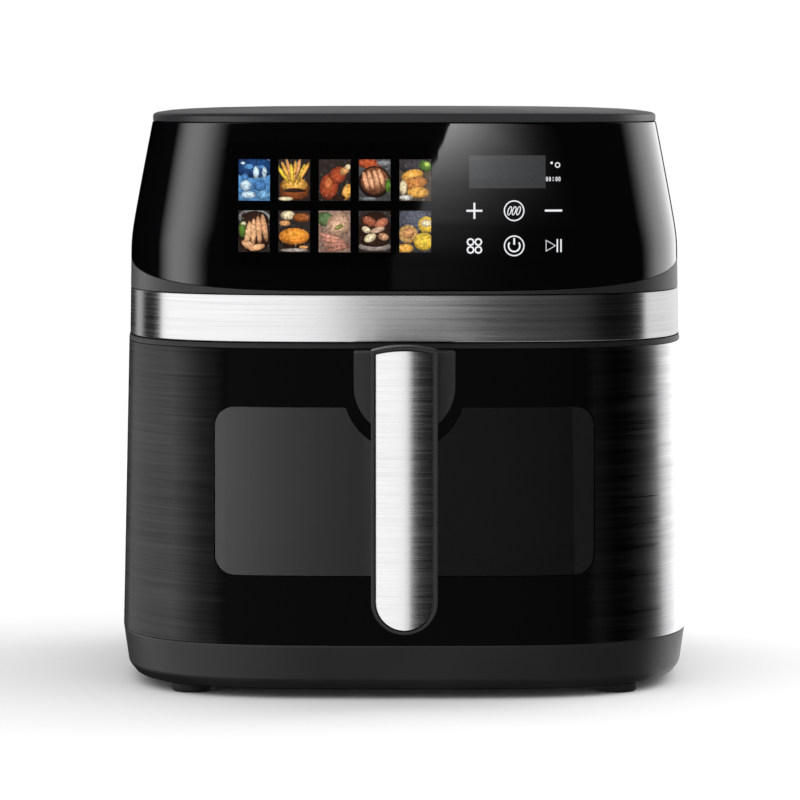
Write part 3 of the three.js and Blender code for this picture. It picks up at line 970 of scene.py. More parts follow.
@dataclass
class Base:
    """Lower tub, underside plate, feet and the screws that hold the underside."""

    form: CabinetForm
    wall: float = 2.6
    levels: tuple[float, float] = (5, 29.7)
    vent_rows: int = 9
    vent_pitch: float = 12
    foot_x: float = 116
    foot_y: float = 122
    foot_radius: float = 11.5
    screw_x: float = 92
    screw_y: float = 136

    def tub(self) -> None:
        """Lower tub with a chamfered heel and an opening underneath."""
        obj = self.form.solid("base_tub_skin", *self.levels)
        choose_faces(obj, lambda centre, normal: normal.z > 0.9)
        bpy.ops.mesh.delete(type="FACE")
        choose_faces(obj, lambda centre, normal: normal.z < -0.9)
        bpy.ops.mesh.inset(thickness=40 * MM)
        bpy.ops.mesh.delete(type="FACE")
        soften(obj, 1.4, 4, 20)
        apply_modifier(obj, "SOLIDIFY", thickness=self.wall * MM, offset=-1, use_even_offset=True)
        soften(obj, 0.5, 2, 50)
        finish_piece(obj, Finish.DARK_PLASTIC, "housing", ["base_tub"])

    def underside(self) -> None:
        """Underside plate with rows of air slots."""
        obj = plate("underside_plate", (232, 250), 70, 2.2, 16)
        place(obj, z=5.2)
        middle = (self.vent_rows - 1) / 2
        rows = [(row - middle) * self.vent_pitch for row in range(self.vent_rows)]
        cut(obj, repeated(plate("slot", (84, 4), 1.9, 10, 6), [(0, y, 0) for y in rows]))
        soften(obj, 0.4, 2, 50)
        finish_piece(obj, Finish.INNER_PLASTIC, "housing", ["bottom_plate"])

    def feet(self) -> None:
        """Round rubber feet with dished undersides."""
        r = self.foot_radius
        profile = [(r - 5, 1.0), (r - 3.4, 0.2), (r - 2.2, 0), (r - 1.2, 0.2), (r - 0.3, 1.1),
                   (r, 2.2), (r - 0.2, 4.7), (5, 4.7), (4, 5.4), (4, 11)]
        foot = turned("foot", profile)
        for name, sx, sy in CORNERS:
            pad = place(twin(foot, f"foot_{name}_pad"), sx * self.foot_x, sy * self.foot_y)
            finish_piece(pad, Finish.RUBBER, "housing", [f"foot_{name}"])
        bpy.data.objects.remove(foot)

    def screws(self) -> None:
        """Recessed screws with cross slots that hold the tub to the cabinet."""
        screw = turned("screw", [(2.6, 3.9), (3.6, 3.9), (4.0, 4.3), (4.0, 5.0)], 32)
        bar = place(plate("cross", (4.4, 1.0), 0.2, 1.6, 2), z=3.2)
        cut(screw, place(twin(bar, "cross_turned"), turn=(0, 0, 90)))
        cut(screw, bar)
        for name, sx, sy in CORNERS:
            head = place(twin(screw, f"base_screw_{name}"), sx * self.screw_x, sy * self.screw_y)
            finish_piece(head, Finish.ZINC, "housing")
        bpy.data.objects.remove(screw)

    def build(self) -> None:
        """Build every base part."""
        self.tub()
        self.underside()
        self.feet()
        self.screws()


# ---------------------------------------------------------------- cabinet


@dataclass
class Cabinet:
    """Rear body shell, dark trim ring, steel band, head, lid, grille and cord gland."""

    form: CabinetForm
    panel_slope: float = 0.15
    panel_front_z: float = 221
    panel_rear_y: float = -40
    panel_wall: float = 2.4
    gland_x: float = 60
    gland_z: float = 50
    vent: tuple[float, float, float] = (62, 240, 298)
    vent_gap: float = 0.3
    louvre_rows: int = 6
    louvre_pitch: float = 8

    def body_shell(self) -> None:
        """Sides and back of the lower cabinet, with the hole for the cord gland."""
        form = self.form
        obj = form.shell("body_shell_skin", *form.skin_levels, 2.5)
        form.keep(obj, (0, form.seam_y + form.seam_gap / 2, 0), (0, -1, 0))
        hole = turned("gland_hole", [(7.3, 0), (7.3, 30)], 48)
        cut(obj, place(hole, self.gland_x, 178, self.gland_z, (90, 0, 0)))
        soften(obj, 0.5, 2, 50)
        finish_piece(obj, Finish.BODY_STEEL, "housing", ["body_shell"])

    def deck(self) -> None:
        """Dark ring between drawer and band with the ledge that carries the chamber."""
        ledge = self.form.shell("deck_ring", 190, 193, 24, -0.2)
        stand = self.form.shell("deck_stand", 193.05, 218.6, 2.4, 1.5)
        obj = join([ledge, stand])
        soften(obj, 0.5, 2, 50)
        finish_piece(obj, Finish.INNER_PLASTIC, "housing", ["deck_frame"])

    def band(self) -> None:
        """Brushed steel band right round the cabinet, with softly turned edges."""
        obj = self.form.shell("steel_band_skin", 193.4, 218.8, 1.2)
        soften(obj, 0.5, 3, 50)
        finish_piece(obj, Finish.BAND_STEEL, "housing", ["steel_band"])

    def panel_front_y(self) -> float:
        """Depth of the panel's lower front edge, in millimetres."""
        return -self.form.half_width(self.panel_front_z) * self.form.depth_ratio

    def panel_zone(self, gap: float) -> bpy.types.Object:
        """Tool that holds everything the touch panel may occupy.

        Args:
            gap: How far the tool reaches past the panel, in millimetres.

        Returns:
            The new object.
        """
        front = self.panel_front_y()
        tool = block("panel_zone", (-200, 200), (-260, self.panel_rear_y + gap), (150, 360))
        slope = Vector((0, self.panel_slope, -1)).normalized()
        return self.form.keep(tool, (0, front, self.panel_front_z - gap), tuple(slope))

    def panel(self) -> bpy.types.Object:
        """Polished touch panel wrapped round the front of the head.

        Returns:
            The panel, which the marks are pressed on to.
        """
        obj = self.form.shell("control_panel_skin", *self.form.head_levels, self.panel_wall)
        front = self.panel_front_y()
        edit(obj)
        bpy.ops.mesh.bisect(
            plane_co=(0, front * MM, (self.panel_front_z + 1.3) * MM),
            plane_no=(0, -self.panel_slope, 1),
        )
        bpy.ops.object.mode_set(mode="OBJECT")
        cut(obj, self.panel_zone(0), "INTERSECT")
        soften(obj, 0.35, 2, 50)
        return finish_piece(obj, Finish.PANEL_GLOSS, "housing", ["control_panel"])

    def head(self) -> None:
        """Head moulding: rear half, shoulders under the panel, and the panel's backing."""
        obj = self.form.shell("head_shell_skin", *self.form.head_levels, 5)
        recess = self.form.shell("recess", 215, 315, self.panel_wall + 5.3, -5)
        cut(recess, self.panel_zone(0.3), "INTERSECT")
        cut(obj, recess)
        cut(obj, block("display_hole", (-103, 90), (-200, -80), (231, 303)))
        half, low, high = self.vent
        cut(obj, block("vent_hole", (-half, half), (120, 200), (low, high)))
        soften(obj, 0.4, 2, 50)
        finish_piece(obj, Finish.DARK_PLASTIC, "housing", ["head_shell"])

    def grille(self) -> None:
        """Air outlet on the back: a framed field of level louvres."""
        half, low, high = self.vent
        half, low, high = half - self.vent_gap, low + self.vent_gap, high - self.vent_gap
        obj = self.form.shell("rear_vent_louvres", low, high, 7.5, -2.5)
        frame_zone = front_plate("vent_zone", (-half, half), (low, high), (120, 200), 4)
        cut(obj, frame_zone, "INTERSECT")
        slot = front_plate("slot", (-26.5, 26.5), (247, 251.2), (110, 210), 1.4, 4)
        spots = [(x, 0, self.louvre_pitch * row)
                 for row in range(self.louvre_rows) for x in (-28.5, 28.5)]
        cut(obj, repeated(slot, spots))
        apply_modifier(obj, "WELD", merge_threshold=0.05 * MM)
        soften(obj, 0.5, 2, 50)
        finish_piece(obj, Finish.INNER_PLASTIC, "housing", ["rear_vent_grille"])

    def lid(self) -> None:
        """Shallow crowned lid with a rounded rim and a lip that drops into the head."""
        levels = [(311.2, 140.8), (311.6, 141.3), (314.0, 141.3), (314.9, 141.1), (315.6, 140.4),
                  (316.2, 138.6), (316.9, 133.5), (317.5, 125), (318.1, 111), (318.6, 88),
                  (318.9, 60), (319.0, 30)]
        obj = self.form.stack("lid_skin", levels)
        choose_faces(obj, lambda centre, normal: normal.z < -0.9)
        for width, rise in ((5.8, -3.2), (2.0, 5.2)):
            bpy.ops.mesh.inset(thickness=width * MM)
            bpy.ops.mesh.extrude_region_move(TRANSFORM_OT_translate={"value": (0, 0, rise * MM)})
        bpy.ops.object.mode_set(mode="OBJECT")
        finish_piece(obj, Finish.LID_PLASTIC, "housing", ["top_cover"], 45)

    def gland(self) -> None:
        """Rubber gland for the mains cord, with a ribbed collar round its bore."""
        profile = [(4, 155), (7, 155), (7, 163.4), (10.4, 163.9), (11, 165.2), (11, 166.6),
                   (10.3, 167.2), (10.9, 167.8), (10.9, 169), (9.4, 170.4), (8, 171), (4.6, 171),
                   (4, 170.4)]
        obj = turned("cord_gland_grommet", [(r, -y) for r, y in profile], 40, hollow=True)
        place(obj, self.gland_x, 0, self.gland_z, (90, 0, 0))
        finish_piece(obj, Finish.RUBBER, "housing", ["cord_gland"])

    def build(self) -> bpy.types.Object:
        """Build every cabinet part.

        Returns:
            The touch panel.
        """
        self.body_shell()
        self.deck()
        self.band()
        self.head()
        self.grille()
        self.lid()
        self.gland()
        return self.panel()


# ---------------------------------------------------------------- panel graphics


class Shape(Enum):
    """Flat shapes that marks and pictures are made of."""

    BAR = "bar"
    DISC = "disc"
    RING = "ring"


@dataclass(frozen=True)
class Dab:
    """One flat shape in a picture: place and size in millimetres, turn in degrees."""

    x: float
    z: float
    wide: float
    tall: float
    tint: Colour
    turn: float = 0
    round: bool = True


BROWN, TAN, CRUST = (0.30, 0.085, 0.02), (0.72, 0.34, 0.13), (0.85, 0.42, 0.08)
CHAR, PAN_DARK, SLATE = (0.03, 0.012, 0.008), (0.045, 0.032, 0.026), (0.05, 0.045, 0.05)
GREEN, CREAM, GOLD = (0.10, 0.22, 0.03), (0.9, 0.72, 0.45), (0.95, 0.60, 0.06)


@dataclass
class PanelGraphics:
    """Display, menu pictures, readout and touch marks on the panel's face."""

    panel: bpy.types.Object
    tile: tuple[float, float] = (17, 22.2)
    columns: tuple[float, ...] = (-81, -59.3, -37.6, -16.0, 5.8)
    rows: tuple[float, ...] = (280.4, 252.9)
    display_x: tuple[float, float] = (-97.5, 18)
    display_z: tuple[float, float] = (233.5, 300)
    readout: tuple[float, float, float, float] = (55.4, 284.8, 41.3, 17.6)
    mark_columns: tuple[float, float, float] = (37.6, 59, 80.3)
    mark_rows: tuple[float, float] = (264, 245.2)
    stand_y: float = -230
    display_lift: float = 0.06
    readout_lift: float = 0.10
    mark_lift: float = 0.16
    layer_lift: float = 0.02
    made: int = field(default=0, init=False)

    def flat(
        self, shape: Shape, x: float, z: float, wide: float, tall: float,
        turn: float = 0, stroke: float = 0.7, sides: int = 40,
    ) -> bpy.types.Object:
        """Flat shape standing in front of the panel, ready to be pressed on to it.

        Args:
            shape: Kind of shape.
            x: Centre across, in millimetres.
            z: Centre height, in millimetres.
            wide: Width in millimetres.
            tall: Height in millimetres.
            turn: Turn in the panel's plane, in degrees.
            stroke: Line width of a ring, in millimetres.
            sides: Sides of a disc or ring.

        Returns:
            The new object.
        """
        clear_selection()
        if shape is Shape.BAR:
            bpy.ops.mesh.primitive_grid_add(x_subdivisions=5, y_subdivisions=5, size=1)
        else:
            fill = "TRIFAN" if shape is Shape.DISC else "NOTHING"
            bpy.ops.mesh.primitive_circle_add(vertices=sides, radius=0.5, fill_type=fill)
        obj = bpy.context.object
        self.made += 1
        obj.name = f"mark_{self.made}"
        edit(obj)
        bpy.ops.transform.resize(value=(wide * MM, tall * MM, 1), center_override=(0, 0, 0))
        if shape is Shape.RING:
            bpy.ops.mesh.extrude_edges_move(TRANSFORM_OT_translate={"value": (0, 0, 0)})
            inner = (1 - 2 * stroke / wide, 1 - 2 * stroke / tall, 1)
            bpy.ops.transform.resize(value=inner, center_override=(0, 0, 0))
        if shape is Shape.DISC:
            bpy.ops.mesh.subdivide(number_cuts=1)
        bpy.ops.object.mode_set(mode="OBJECT")
        place(obj, turn=(0, 0, -turn))
        return place(obj, x, self.stand_y, z, (90, 0, 0))

    def crop(self, obj: bpy.types.Object, x: float, z: float) -> None:
        """Trim a shape to the edges of its tile.

        Args:
            obj: Flat shape in front of the panel.
            x: Tile's centre across, in millimetres.
            z: Tile's centre height, in millimetres.
        """
        half_w, half_t = self.tile[0] / 2, self.tile[1] / 2
        for dx, dz in ((1, 0), (-1, 0), (0, 1), (0, -1)):
            edit(obj)
            edge = ((x + dx * half_w) * MM, 0, (z + dz * half_t) * MM)
            bpy.ops.mesh.bisect(plane_co=edge, plane_no=(dx, 0, dz), clear_outer=True)
        bpy.ops.object.mode_set(mode="OBJECT")

    def press_on(self, obj: bpy.types.Object, lift: float) -> None:
        """Project a flat shape on to the panel's curved face.

        Args:
            obj: Flat shape in front of the panel.
            lift: How far it stands proud of the face, in millimetres.
        """
        apply_modifier(
            obj, "SHRINKWRAP", target=self.panel, wrap_method="PROJECT", use_project_y=True,
            use_positive_direction=True, use_negative_direction=False, offset=lift * MM,
        )

    def tint(self, obj: bpy.types.Object, x: float, z: float, dab: Dab) -> None:
        """Store a dab's colour, brighter towards its middle and its upper side.

        Args:
            obj: The dab's mesh.
            x: Tile's centre across, in millimetres.
            z: Tile's centre height, in millimetres.
            dab: Dab that the mesh shows.
        """
        layer = obj.data.color_attributes.new("tint", "FLOAT_COLOR", "POINT")
        turn = math.radians(dab.turn)
        for vertex, item in zip(obj.data.vertices, layer.data):
            across, up = vertex.co.x / MM - x - dab.x, vertex.co.z / MM - z - dab.z
            along = (across * math.cos(turn) - up * math.sin(turn)) / (dab.wide / 2)
            over = (across * math.sin(turn) + up * math.cos(turn)) / (dab.tall / 2)
            rim = min(1.0, math.hypot(along, over))
            light = 1.3 - 0.85 * rim * rim + 0.2 * over if dab.round else 0.95 + 0.2 * over
            item.color = (*shade(dab.tint, max(0.1, light)), 1)

    def picture(self, name: str, x: float, z: float, ground: Colour, dabs: Sequence[Dab]) -> None:
        """One menu picture: a ground and its dabs, trimmed, pressed on and joined.

        Args:
            name: Name of the dish.
            x: Tile's centre across, in millimetres.
            z: Tile's centre height, in millimetres.
            ground: Colour of the ground.
            dabs: Dabs from back to front.
        """
        ground_dab = Dab(0, 0, *self.tile, ground, round=False)
        layers = []
        for step, dab in enumerate([ground_dab, *dabs]):
            shape = Shape.DISC if dab.round else Shape.BAR
            obj = self.flat(shape, x + dab.x, z + dab.z, dab.wide, dab.tall, dab.turn, sides=20)
            self.crop(obj, x, z)
            if not obj.data.polygons:
                bpy.data.objects.remove(obj)
                continue
            self.tint(obj, x, z, dab)
            self.press_on(obj, self.mark_lift + self.layer_lift * step)
            layers.append(obj)
        obj = join(layers)
        obj.name = f"menu_{name}"
        self.dress(obj, Finish.MENU)

    def dress(self, obj: bpy.types.Object, look: Finish) -> None:
        """Finish a pressed mark; the panel already stands in the frame, so it isn't moved.

        Args:
            obj: The mark.
            look: Finish it gets.
        """
        settle(obj)
        bpy.ops.object.shade_smooth_by_angle(angle=math.radians(30))
        obj.data.materials.clear()
        obj.data.materials.append(look.material())
        obj.data.name = obj.name
        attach(obj, "housing")
        log.info("mark %s, %d faces", obj.name, len(obj.data.polygons))

    def menu(self) -> None:
        """The two rows of food pictures."""
        for name, column, row, ground, dabs in self.menu_cards():
            self.picture(name, self.columns[column], self.rows[row], ground, dabs)

    def menu_cards(self) -> list[tuple[str, int, int, Colour, list[Dab]]]:
        """The ten pictures of the menu.

        Returns:
            Each picture's name, column, row, ground colour and dabs.
        """
        ice, deep, snow = (0.07, 0.22, 0.50), (0.01, 0.05, 0.17), (0.60, 0.78, 0.95)
        frozen = [Dab(0, 7, 24, 12, deep), Dab(1, 4, 3.4, 7, snow), Dab(5.5, 4, 2.6, 6, snow),
                  Dab(-5, 1.5, 4, 4, ice), Dab(-4.6, -3, 6, 6, snow), Dab(3, -3, 7, 6, ice),
                  Dab(-3, -8, 8, 4, snow), Dab(5, -8, 7, 5, (0.2, 0.45, 0.75)),
                  Dab(-6.2, 9, 2.6, 1.6, snow)]
        fries = [Dab(0, -4, 16, 12, BROWN), Dab(0, -2.6, 14, 8, CRUST)]
        fries += [Dab(-6 + 1.6 * k, 3 + 1.4 * (k % 3), 2.1, 12, (GOLD, CRUST, TAN)[k % 3],
                      -34 + 9 * k) for k in range(8)]
        fries += [Dab(0, -7.4, 15.4, 6.4, (0.24, 0.06, 0.015)), Dab(0, -5.6, 13, 2, CHAR),
                  Dab(-4.6, -10, 8, 2.2, CREAM)]
        red = (0.42, 0.07, 0.025)
        drumstick = [Dab(-3, -3.5, 10, 14, red, 8), Dab(1.6, 2.6, 8.5, 10, red, 40),
                     Dab(-3.4, -2, 5, 7, (0.62, 0.16, 0.05), 10), Dab(5.4, 5, 6, 4, TAN, -35),
                     Dab(7.2, 7, 3, 3, CREAM), Dab(6.6, -6.4, 5, 9, CRUST, 16),
                     Dab(2.4, -9.4, 7, 3, CHAR)]
        grill = [Dab(-3, 8.6, 13, 6, (0.5, 0.09, 0.03), 12), Dab(5, 9, 8, 3, (0.25, 0.25, 0.27)),
                 Dab(0, -1, 17.4, 17.4, CHAR), Dab(0, -0.4, 15, 14.6, (0.3, 0.1, 0.045))]
        grill += [Dab(-4.8 + 2.8 * k, -0.6 + 0.5 * k, 2.7, 10.6, (0.86, 0.42, 0.22), -16)
                  for k in range(4)]
        grill += [Dab(7.2, -3, 3, 8, GREEN), Dab(-3, -10, 9, 2, (0.18, 0.19, 0.2))]
        roast = [Dab(0, 8, 20, 9, SLATE), Dab(-1.5, 2.4, 12, 6.6, CRUST, -14),
                 Dab(0, -1.6, 13, 7, (0.62, 0.24, 0.06), -8), Dab(1.5, -6.6, 12, 6, CRUST),
                 Dab(5.4, 7.6, 7, 5.5, GREEN, 30), Dab(6.4, 8.4, 4, 3, (0.4, 0.55, 0.1)),
                 Dab(-6.4, -4, 4, 8, CREAM), Dab(-5, -9.4, 7, 3, (0.65, 0.62, 0.56))]
        peach = (0.95, 0.48, 0.24)
        prawns = [Dab(0, 7.6, 17, 9, (0.4, 0.4, 0.4)), Dab(0.4, 6, 15, 10, CHAR),
                  Dab(0, -3, 17.4, 17, CHAR), Dab(-6.2, 1, 4, 9, GREEN), Dab(-5.6, 4, 3, 2, CREAM)]
        prawns += [Dab(-3.4 + 3.0 * k, -2 + 1.3 * k, 3.2, 15, shade(peach, 1.1 - 0.12 * k),
                       8 - 6 * k) for k in range(4)]
        prawns += [Dab(-3.6, -7, 7, 4.2, peach, 30), Dab(1.6, -8.6, 9, 3.4, peach, -14)]
        pie = [Dab(-3.4, 8.6, 8, 5, CREAM), Dab(4, 7.4, 10, 5, BROWN), Dab(-5, 4.4, 6, 3, TAN),
               Dab(0, -3.8, 17.4, 12, CHAR), Dab(0, -2.6, 16.4, 9, (1.0, 0.33, 0.04)),
               Dab(0, -10, 15, 2, (0.42, 0.36, 0.32)), Dab(5, -8.4, 5, 2, TAN)]
        flesh, olive = (0.55, 0.24, 0.17), (0.12, 0.2, 0.08)
        fillet = [Dab(-5, 6.6, 9, 8, olive, 20), Dab(2, 3.4, 13, 12, (0.66, 0.4, 0.26), -20),
                  Dab(2.4, 2.4, 5, 2.4, (0.3, 0.3, 0.08), -20)]
        fillet += [Dab(-2 + 1.2 * k, -3 - 2 * k, 14, 2.8, shade(flesh, 1.2 - 0.14 * k), 16 - 9 * k)
                   for k in range(4)]
        wings = [Dab(0, 0, 17.4, 22, CHAR), Dab(0, -8, 18, 5, (0.36, 0.3, 0.27)),
                 Dab(0, -6.2, 15, 4, CHAR), Dab(-3, 5.4, 8, 5, (0.36, 0.1, 0.05), 24),
                 Dab(3.6, 4.4, 8, 5, (0.5, 0.17, 0.09), -30), Dab(-4.6, 1, 5, 3.4, CREAM, 24),
                 Dab(1.6, 0.8, 8, 3, (0.7, 0.46, 0.32), -16), Dab(-2.4, -3.4, 7, 4.4, CREAM, -24),
                 Dab(4.6, -2.8, 6, 4, (0.62, 0.33, 0.18), 12)]
        potatoes = [Dab(0, 6, 20, 14, (0.10, 0.11, 0.14)), Dab(6, 3.6, 9, 9, GOLD),
                    Dab(-3.8, -1.4, 10.4, 10, (0.75, 0.42, 0.14)), Dab(-3.8, -0.8, 6.4, 6, TAN),
                    Dab(6, 4.4, 6.4, 4, CREAM), Dab(4.6, -5.4, 11, 9.6, GOLD),
                    Dab(-5.4, -9, 9, 5, CRUST)]
        night = (0.03, 0.022, 0.02)
        top = [("frozen", (0.10, 0.30, 0.62), frozen), ("fries", night, fries),
               ("drumstick", night, drumstick), ("grill", (0.07, 0.07, 0.075), grill),
               ("roast", (0.10, 0.07, 0.05), roast)]
        low = [("prawns", night, prawns), ("pie", night, pie),
               ("fillet", (0.32, 0.2, 0.15), fillet), ("wings", night, wings),
               ("potatoes", SLATE, potatoes)]
        return [(name, column, row, ground, dabs) for row, cards in enumerate((top, low))
                for column, (name, ground, dabs) in enumerate(cards)]

    def display(self) -> None:
        """Black display area behind the pictures, and the grey readout face, whose grey is painted
        light.
        """
        depth = (self.stand_y - 1, self.stand_y)
        area = front_plate("display_area", self.display_x, self.display_z, depth, 4, 6)
        edit(area)
        bpy.ops.mesh.quads_convert_to_tris()
        for axis, low, high, count in ((0, *self.display_x, 30), (2, *self.display_z, 24)):
            for step in range(1, count):
                where = [0.0, 0.0, 0.0]
                where[axis] = (low + (high - low) * step / count) * MM
                normal = [0.0, 0.0, 0.0]
                normal[axis] = 1.0
                bpy.ops.mesh.select_all(action="SELECT")
                bpy.ops.mesh.bisect(plane_co=where, plane_no=normal)
        choose_faces(area, lambda centre, normal: normal.y > -0.5)
        bpy.ops.mesh.delete(type="FACE")
        bpy.ops.object.mode_set(mode="OBJECT")
        self.press_on(area, self.display_lift)
        self.dress(area, Finish.DISPLAY_GLASS)
        readout = self.flat(Shape.BAR, *self.readout)
        edit(readout)
        bpy.ops.mesh.subdivide(number_cuts=2)
        bpy.ops.object.mode_set(mode="OBJECT")
        self.press_on(readout, self.readout_lift)
        readout.name = "readout_face"
        self.dress(readout, Finish.READOUT)

    def marks(self) -> None:
        """Touch marks: plus, heat, minus, menu, power, start and pause, and two small glyphs."""
        left, middle, right = self.mark_columns
        upper, lower = self.mark_rows
        bar, disc, ring = Shape.BAR, Shape.DISC, Shape.RING
        parts = [(bar, left, upper, 8.6, 1.1), (bar, left, upper, 1.1, 8.6),
                 (bar, right, upper, 9.4, 1.1),
                 (ring, middle, upper, 11.2, 11.2), (ring, middle, lower, 11.2, 11.2),
                 (bar, middle, lower + 2.4, 1.0, 3.6),
                 (bar, right + 2.0, lower, 0.8, 7), (bar, right + 4.0, lower, 0.8, 7),
                 (ring, 79.4, 289.6, 1.4, 1.4), (disc, 80.2, 280.2, 0.7, 0.7),
                 (disc, 80.2, 281.6, 0.7, 0.7)]
        shapes = [self.flat(*part) for part in parts]
        inner = self.flat(ring, middle, lower, 7.0, 7.0, 0, 0.9)
        choose_faces(inner, lambda at, way: at.z > (lower + 1.6) * MM)
        bpy.ops.mesh.delete(type="FACE")
        bpy.ops.object.mode_set(mode="OBJECT")
        shapes.append(inner)
        for dx in (-2.1, 2.1):
            for dz in (-2.1, 2.1):
                shapes.append(self.flat(ring, left + dx, lower + dz, 4.4, 4.4, 45, 0.95, 8))
        shapes.append(self.flat(ring, right - 2.4, lower, 7.4, 7.4, 210, 0.7, 3))
        for k in range(3):
            shapes.append(self.flat(ring, middle - 2.4 + 2.4 * k, upper, 2.2, 5.2, 18, 0.55, 16))
        shapes.append(self.flat(ring, 82.6, 288.4, 3.0, 3.0, 0, 0.6, 16))
        for x in (76.8, 78.4, 82.0, 83.6):
            shapes.append(self.flat(ring, x, 280.9, 1.2, 2.6, 0, 0.4, 12))
        for shape in shapes:
            self.press_on(shape, self.mark_lift)
        obj = join(shapes)
        obj.name = "touch_marks"
        self.dress(obj, Finish.MARK)

    def build(self) -> None:
        """Build every mark on the panel."""
        self.display()
        self.menu()
        self.marks()


# ---------------------------------------------------------------- drawer


@dataclass
class Drawer:
    """Windowed front, handle, pan and their frames."""

    form: CabinetForm
    window: tuple[float, float, float] = (103, 67, 158.6)
    corner: float = 11
    notch: float = 32.6
    notch_z: float = 168
    boss_half: float = 27
    boss_levels: tuple[float, float] = (100, 189.6)
    boss_round_z: float = 172
    grip_half: float = 17.7
    grip_y: float = -213
    grip_levels: tuple[float, float] = (41, 194)
    grip_arch: float = 64
    pan_size: tuple[float, float] = (230, 240)
    pan_floor: float = 0.4
    pan_rim: tuple[float, float] = (126, 128.7)

    def window_zone(self, gap: float) -> bpy.types.Object:
        """Tool in the shape of the window, notched round the handle's boss.

        Args:
            gap: How far it is drawn in from the opening, in millimetres.

        Returns:
            The new object.
        """
        half, low, high = self.window
        tool = front_plate("window_zone", (gap - half, half - gap), (low + gap, high - gap),
                           (-260, -100), self.corner - gap, 10)
        notch = turned("notch", [(self.notch + gap, 0), (self.notch + gap, 300)], 96)
        cut(tool, place(notch, 0, 0, self.notch_z, (90, 0, 0)))
        return tool

    def front(self) -> None:
        """Drawer front with its window opening."""
        form = self.form
        obj = form.shell("drawer_front_skin", *form.skin_levels, 3)
        form.keep(obj, (0, form.seam_y - form.seam_gap / 2, 0), (0, 1, 0))
        cut(obj, self.window_zone(0))
        soften(obj, 0.6, 3, 50)
        finish_piece(obj, Finish.DRAWER_SKIN, "drawer", ["drawer_front"])

    def glass(self) -> None:
        """Smoked window glass that follows the front's bow."""
        obj = self.form.shell("window_glass_pane", 60, 170, 2.4, 0.5)
        cut(obj, self.window_zone(0.25), "INTERSECT")
        soften(obj, 0.35, 2, 50)
        finish_piece(obj, Finish.SMOKED, "drawer", ["window_glass"])

    def boss(self) -> None:
        """Shield-shaped boss between drawer and grip."""
        half, middle, top = self.boss_half, self.boss_round_z, self.boss_levels[1]
        obj = front_plate("handle_boss_shield", (-half, half), self.boss_levels, (-193, -140), 0)
        lower = turned("round", [(half, 0), (half, 60)], 96)
        place(lower, 0, -135, middle, (90, 0, 0))
        cut(lower, block("upper", (-half, half), (-195, -135), (middle, top)), "UNION")
        cut(obj, lower, "INTERSECT")
        cut(obj, self.form.solid("clear", 90, 200, -0.3))
        soften(obj, 1.2, 4, 60)
        finish_piece(obj, Finish.DARK_PLASTIC, "drawer", ["handle_boss"])

    def grip_outline(self, name: str, inset: float, y0: float, y1: float) -> bpy.types.Object:
        """Upright bar with a round lower end and a slightly arched top.

        Args:
            name: Object name.
            inset: How far its outline is drawn in, in millimetres.
            y0: Front face in millimetres.
            y1: Back face in millimetres.

        Returns:
            The new object.
        """
        half = self.grip_half - inset
        low, top = self.grip_levels
        obj = front_plate(name, (-half, half), (low + inset, 240), (y0, y1), half - 0.01, 24)
        arch = turned("arch", [(self.grip_arch, 0), (self.grip_arch, 300)], 160)
        place(arch, 0, 0, top - inset - self.grip_arch, (90, 0, 0))
        cut(arch, block("low", (-60, 60), (-300, 0), (20, 160)), "UNION")
        cut(obj, arch, "INTERSECT")
        return obj

    def grip(self) -> None:
        """Grip bar in black plastic, recessed for its steel face."""
        obj = self.grip_outline("handle_grip_bar", 0, self.grip_y, -193.3)
        cut(obj, self.grip_outline("recess", 2.0, self.grip_y - 5, self.grip_y + 2.2))
        soften(obj, 0.7, 3, 60)
        finish_piece(obj, Finish.HANDLE_FRAME, "drawer", ["handle_grip"])

    def cover(self) -> None:
        """Brushed steel face of the grip, bowed a little across its width."""
        obj = self.grip_outline("handle_face", 2.5, self.grip_y, self.grip_y + 6)
        bow = turned("bow", [(70, 0), (70, 260)], 360)
        place(bow, 0, self.grip_y + 70.05, 0)
        cut(obj, bow, "INTERSECT")
        cut(obj, block("back", (-60, 60), (self.grip_y + 2.0, -100), (0, 260)))
        soften(obj, 0.4, 3, 50)
        finish_piece(obj, Finish.HANDLE_STEEL, "drawer", ["handle_cover"])

    def pan(self) -> None:
        """Non-stick pan: rounded floor, tapering wall, flared rim and a window opening."""
        obj = plate("pan_tub", self.pan_size, 30, self.pan_floor, 12)
        choose_faces(obj, lambda centre, normal: normal.z > 0.9)
        half_w, half_d = (size / 2 for size in self.pan_size)
        steps = [(3.2, 0.8), (1.6, 1.8), (0.8, 3.0), (0.4, 4.0), (3.8, 110), (0.2, 6.5)]
        height = self.pan_floor
        for grow, rise in steps:
            rings([(half_w, half_d, height), (half_w + grow / 2, half_d + grow / 2, height + rise)])
            half_w, half_d, height = half_w + grow / 2, half_d + grow / 2, height + rise
        rings([(half_w, half_d, height), (*self.pan_rim, height + 1.4)])
        bpy.ops.mesh.delete(type="FACE")
        bpy.ops.object.mode_set(mode="OBJECT")
        apply_modifier(obj, "SOLIDIFY", thickness=1.6 * MM, offset=-1, use_even_offset=True)
        place(obj, 0, -11.5, 38)
        cut(obj, front_plate("pan_window", (-80, 80), (74, 152), (-260, -100), 7, 8))
        soften(obj, 0.4, 2, 50)
        finish_piece(obj, Finish.NONSTICK, "drawer", ["pan"])

    def build(self) -> None:
        """Build every drawer part."""
        self.front()
        self.glass()
        self.boss()
        self.grip()
        self.cover()
        self.pan()
        dress(Finish.INNER_PLASTIC, ["drawer_inner_frame", "pan_bracket"])
        dress(Finish.SILICONE, ["window_seal"])
        dress(Finish.CLEAR, ["pan_window_glass"])
        dress(Finish.ZINC, ["handle_screw_lower", "handle_screw_upper"])


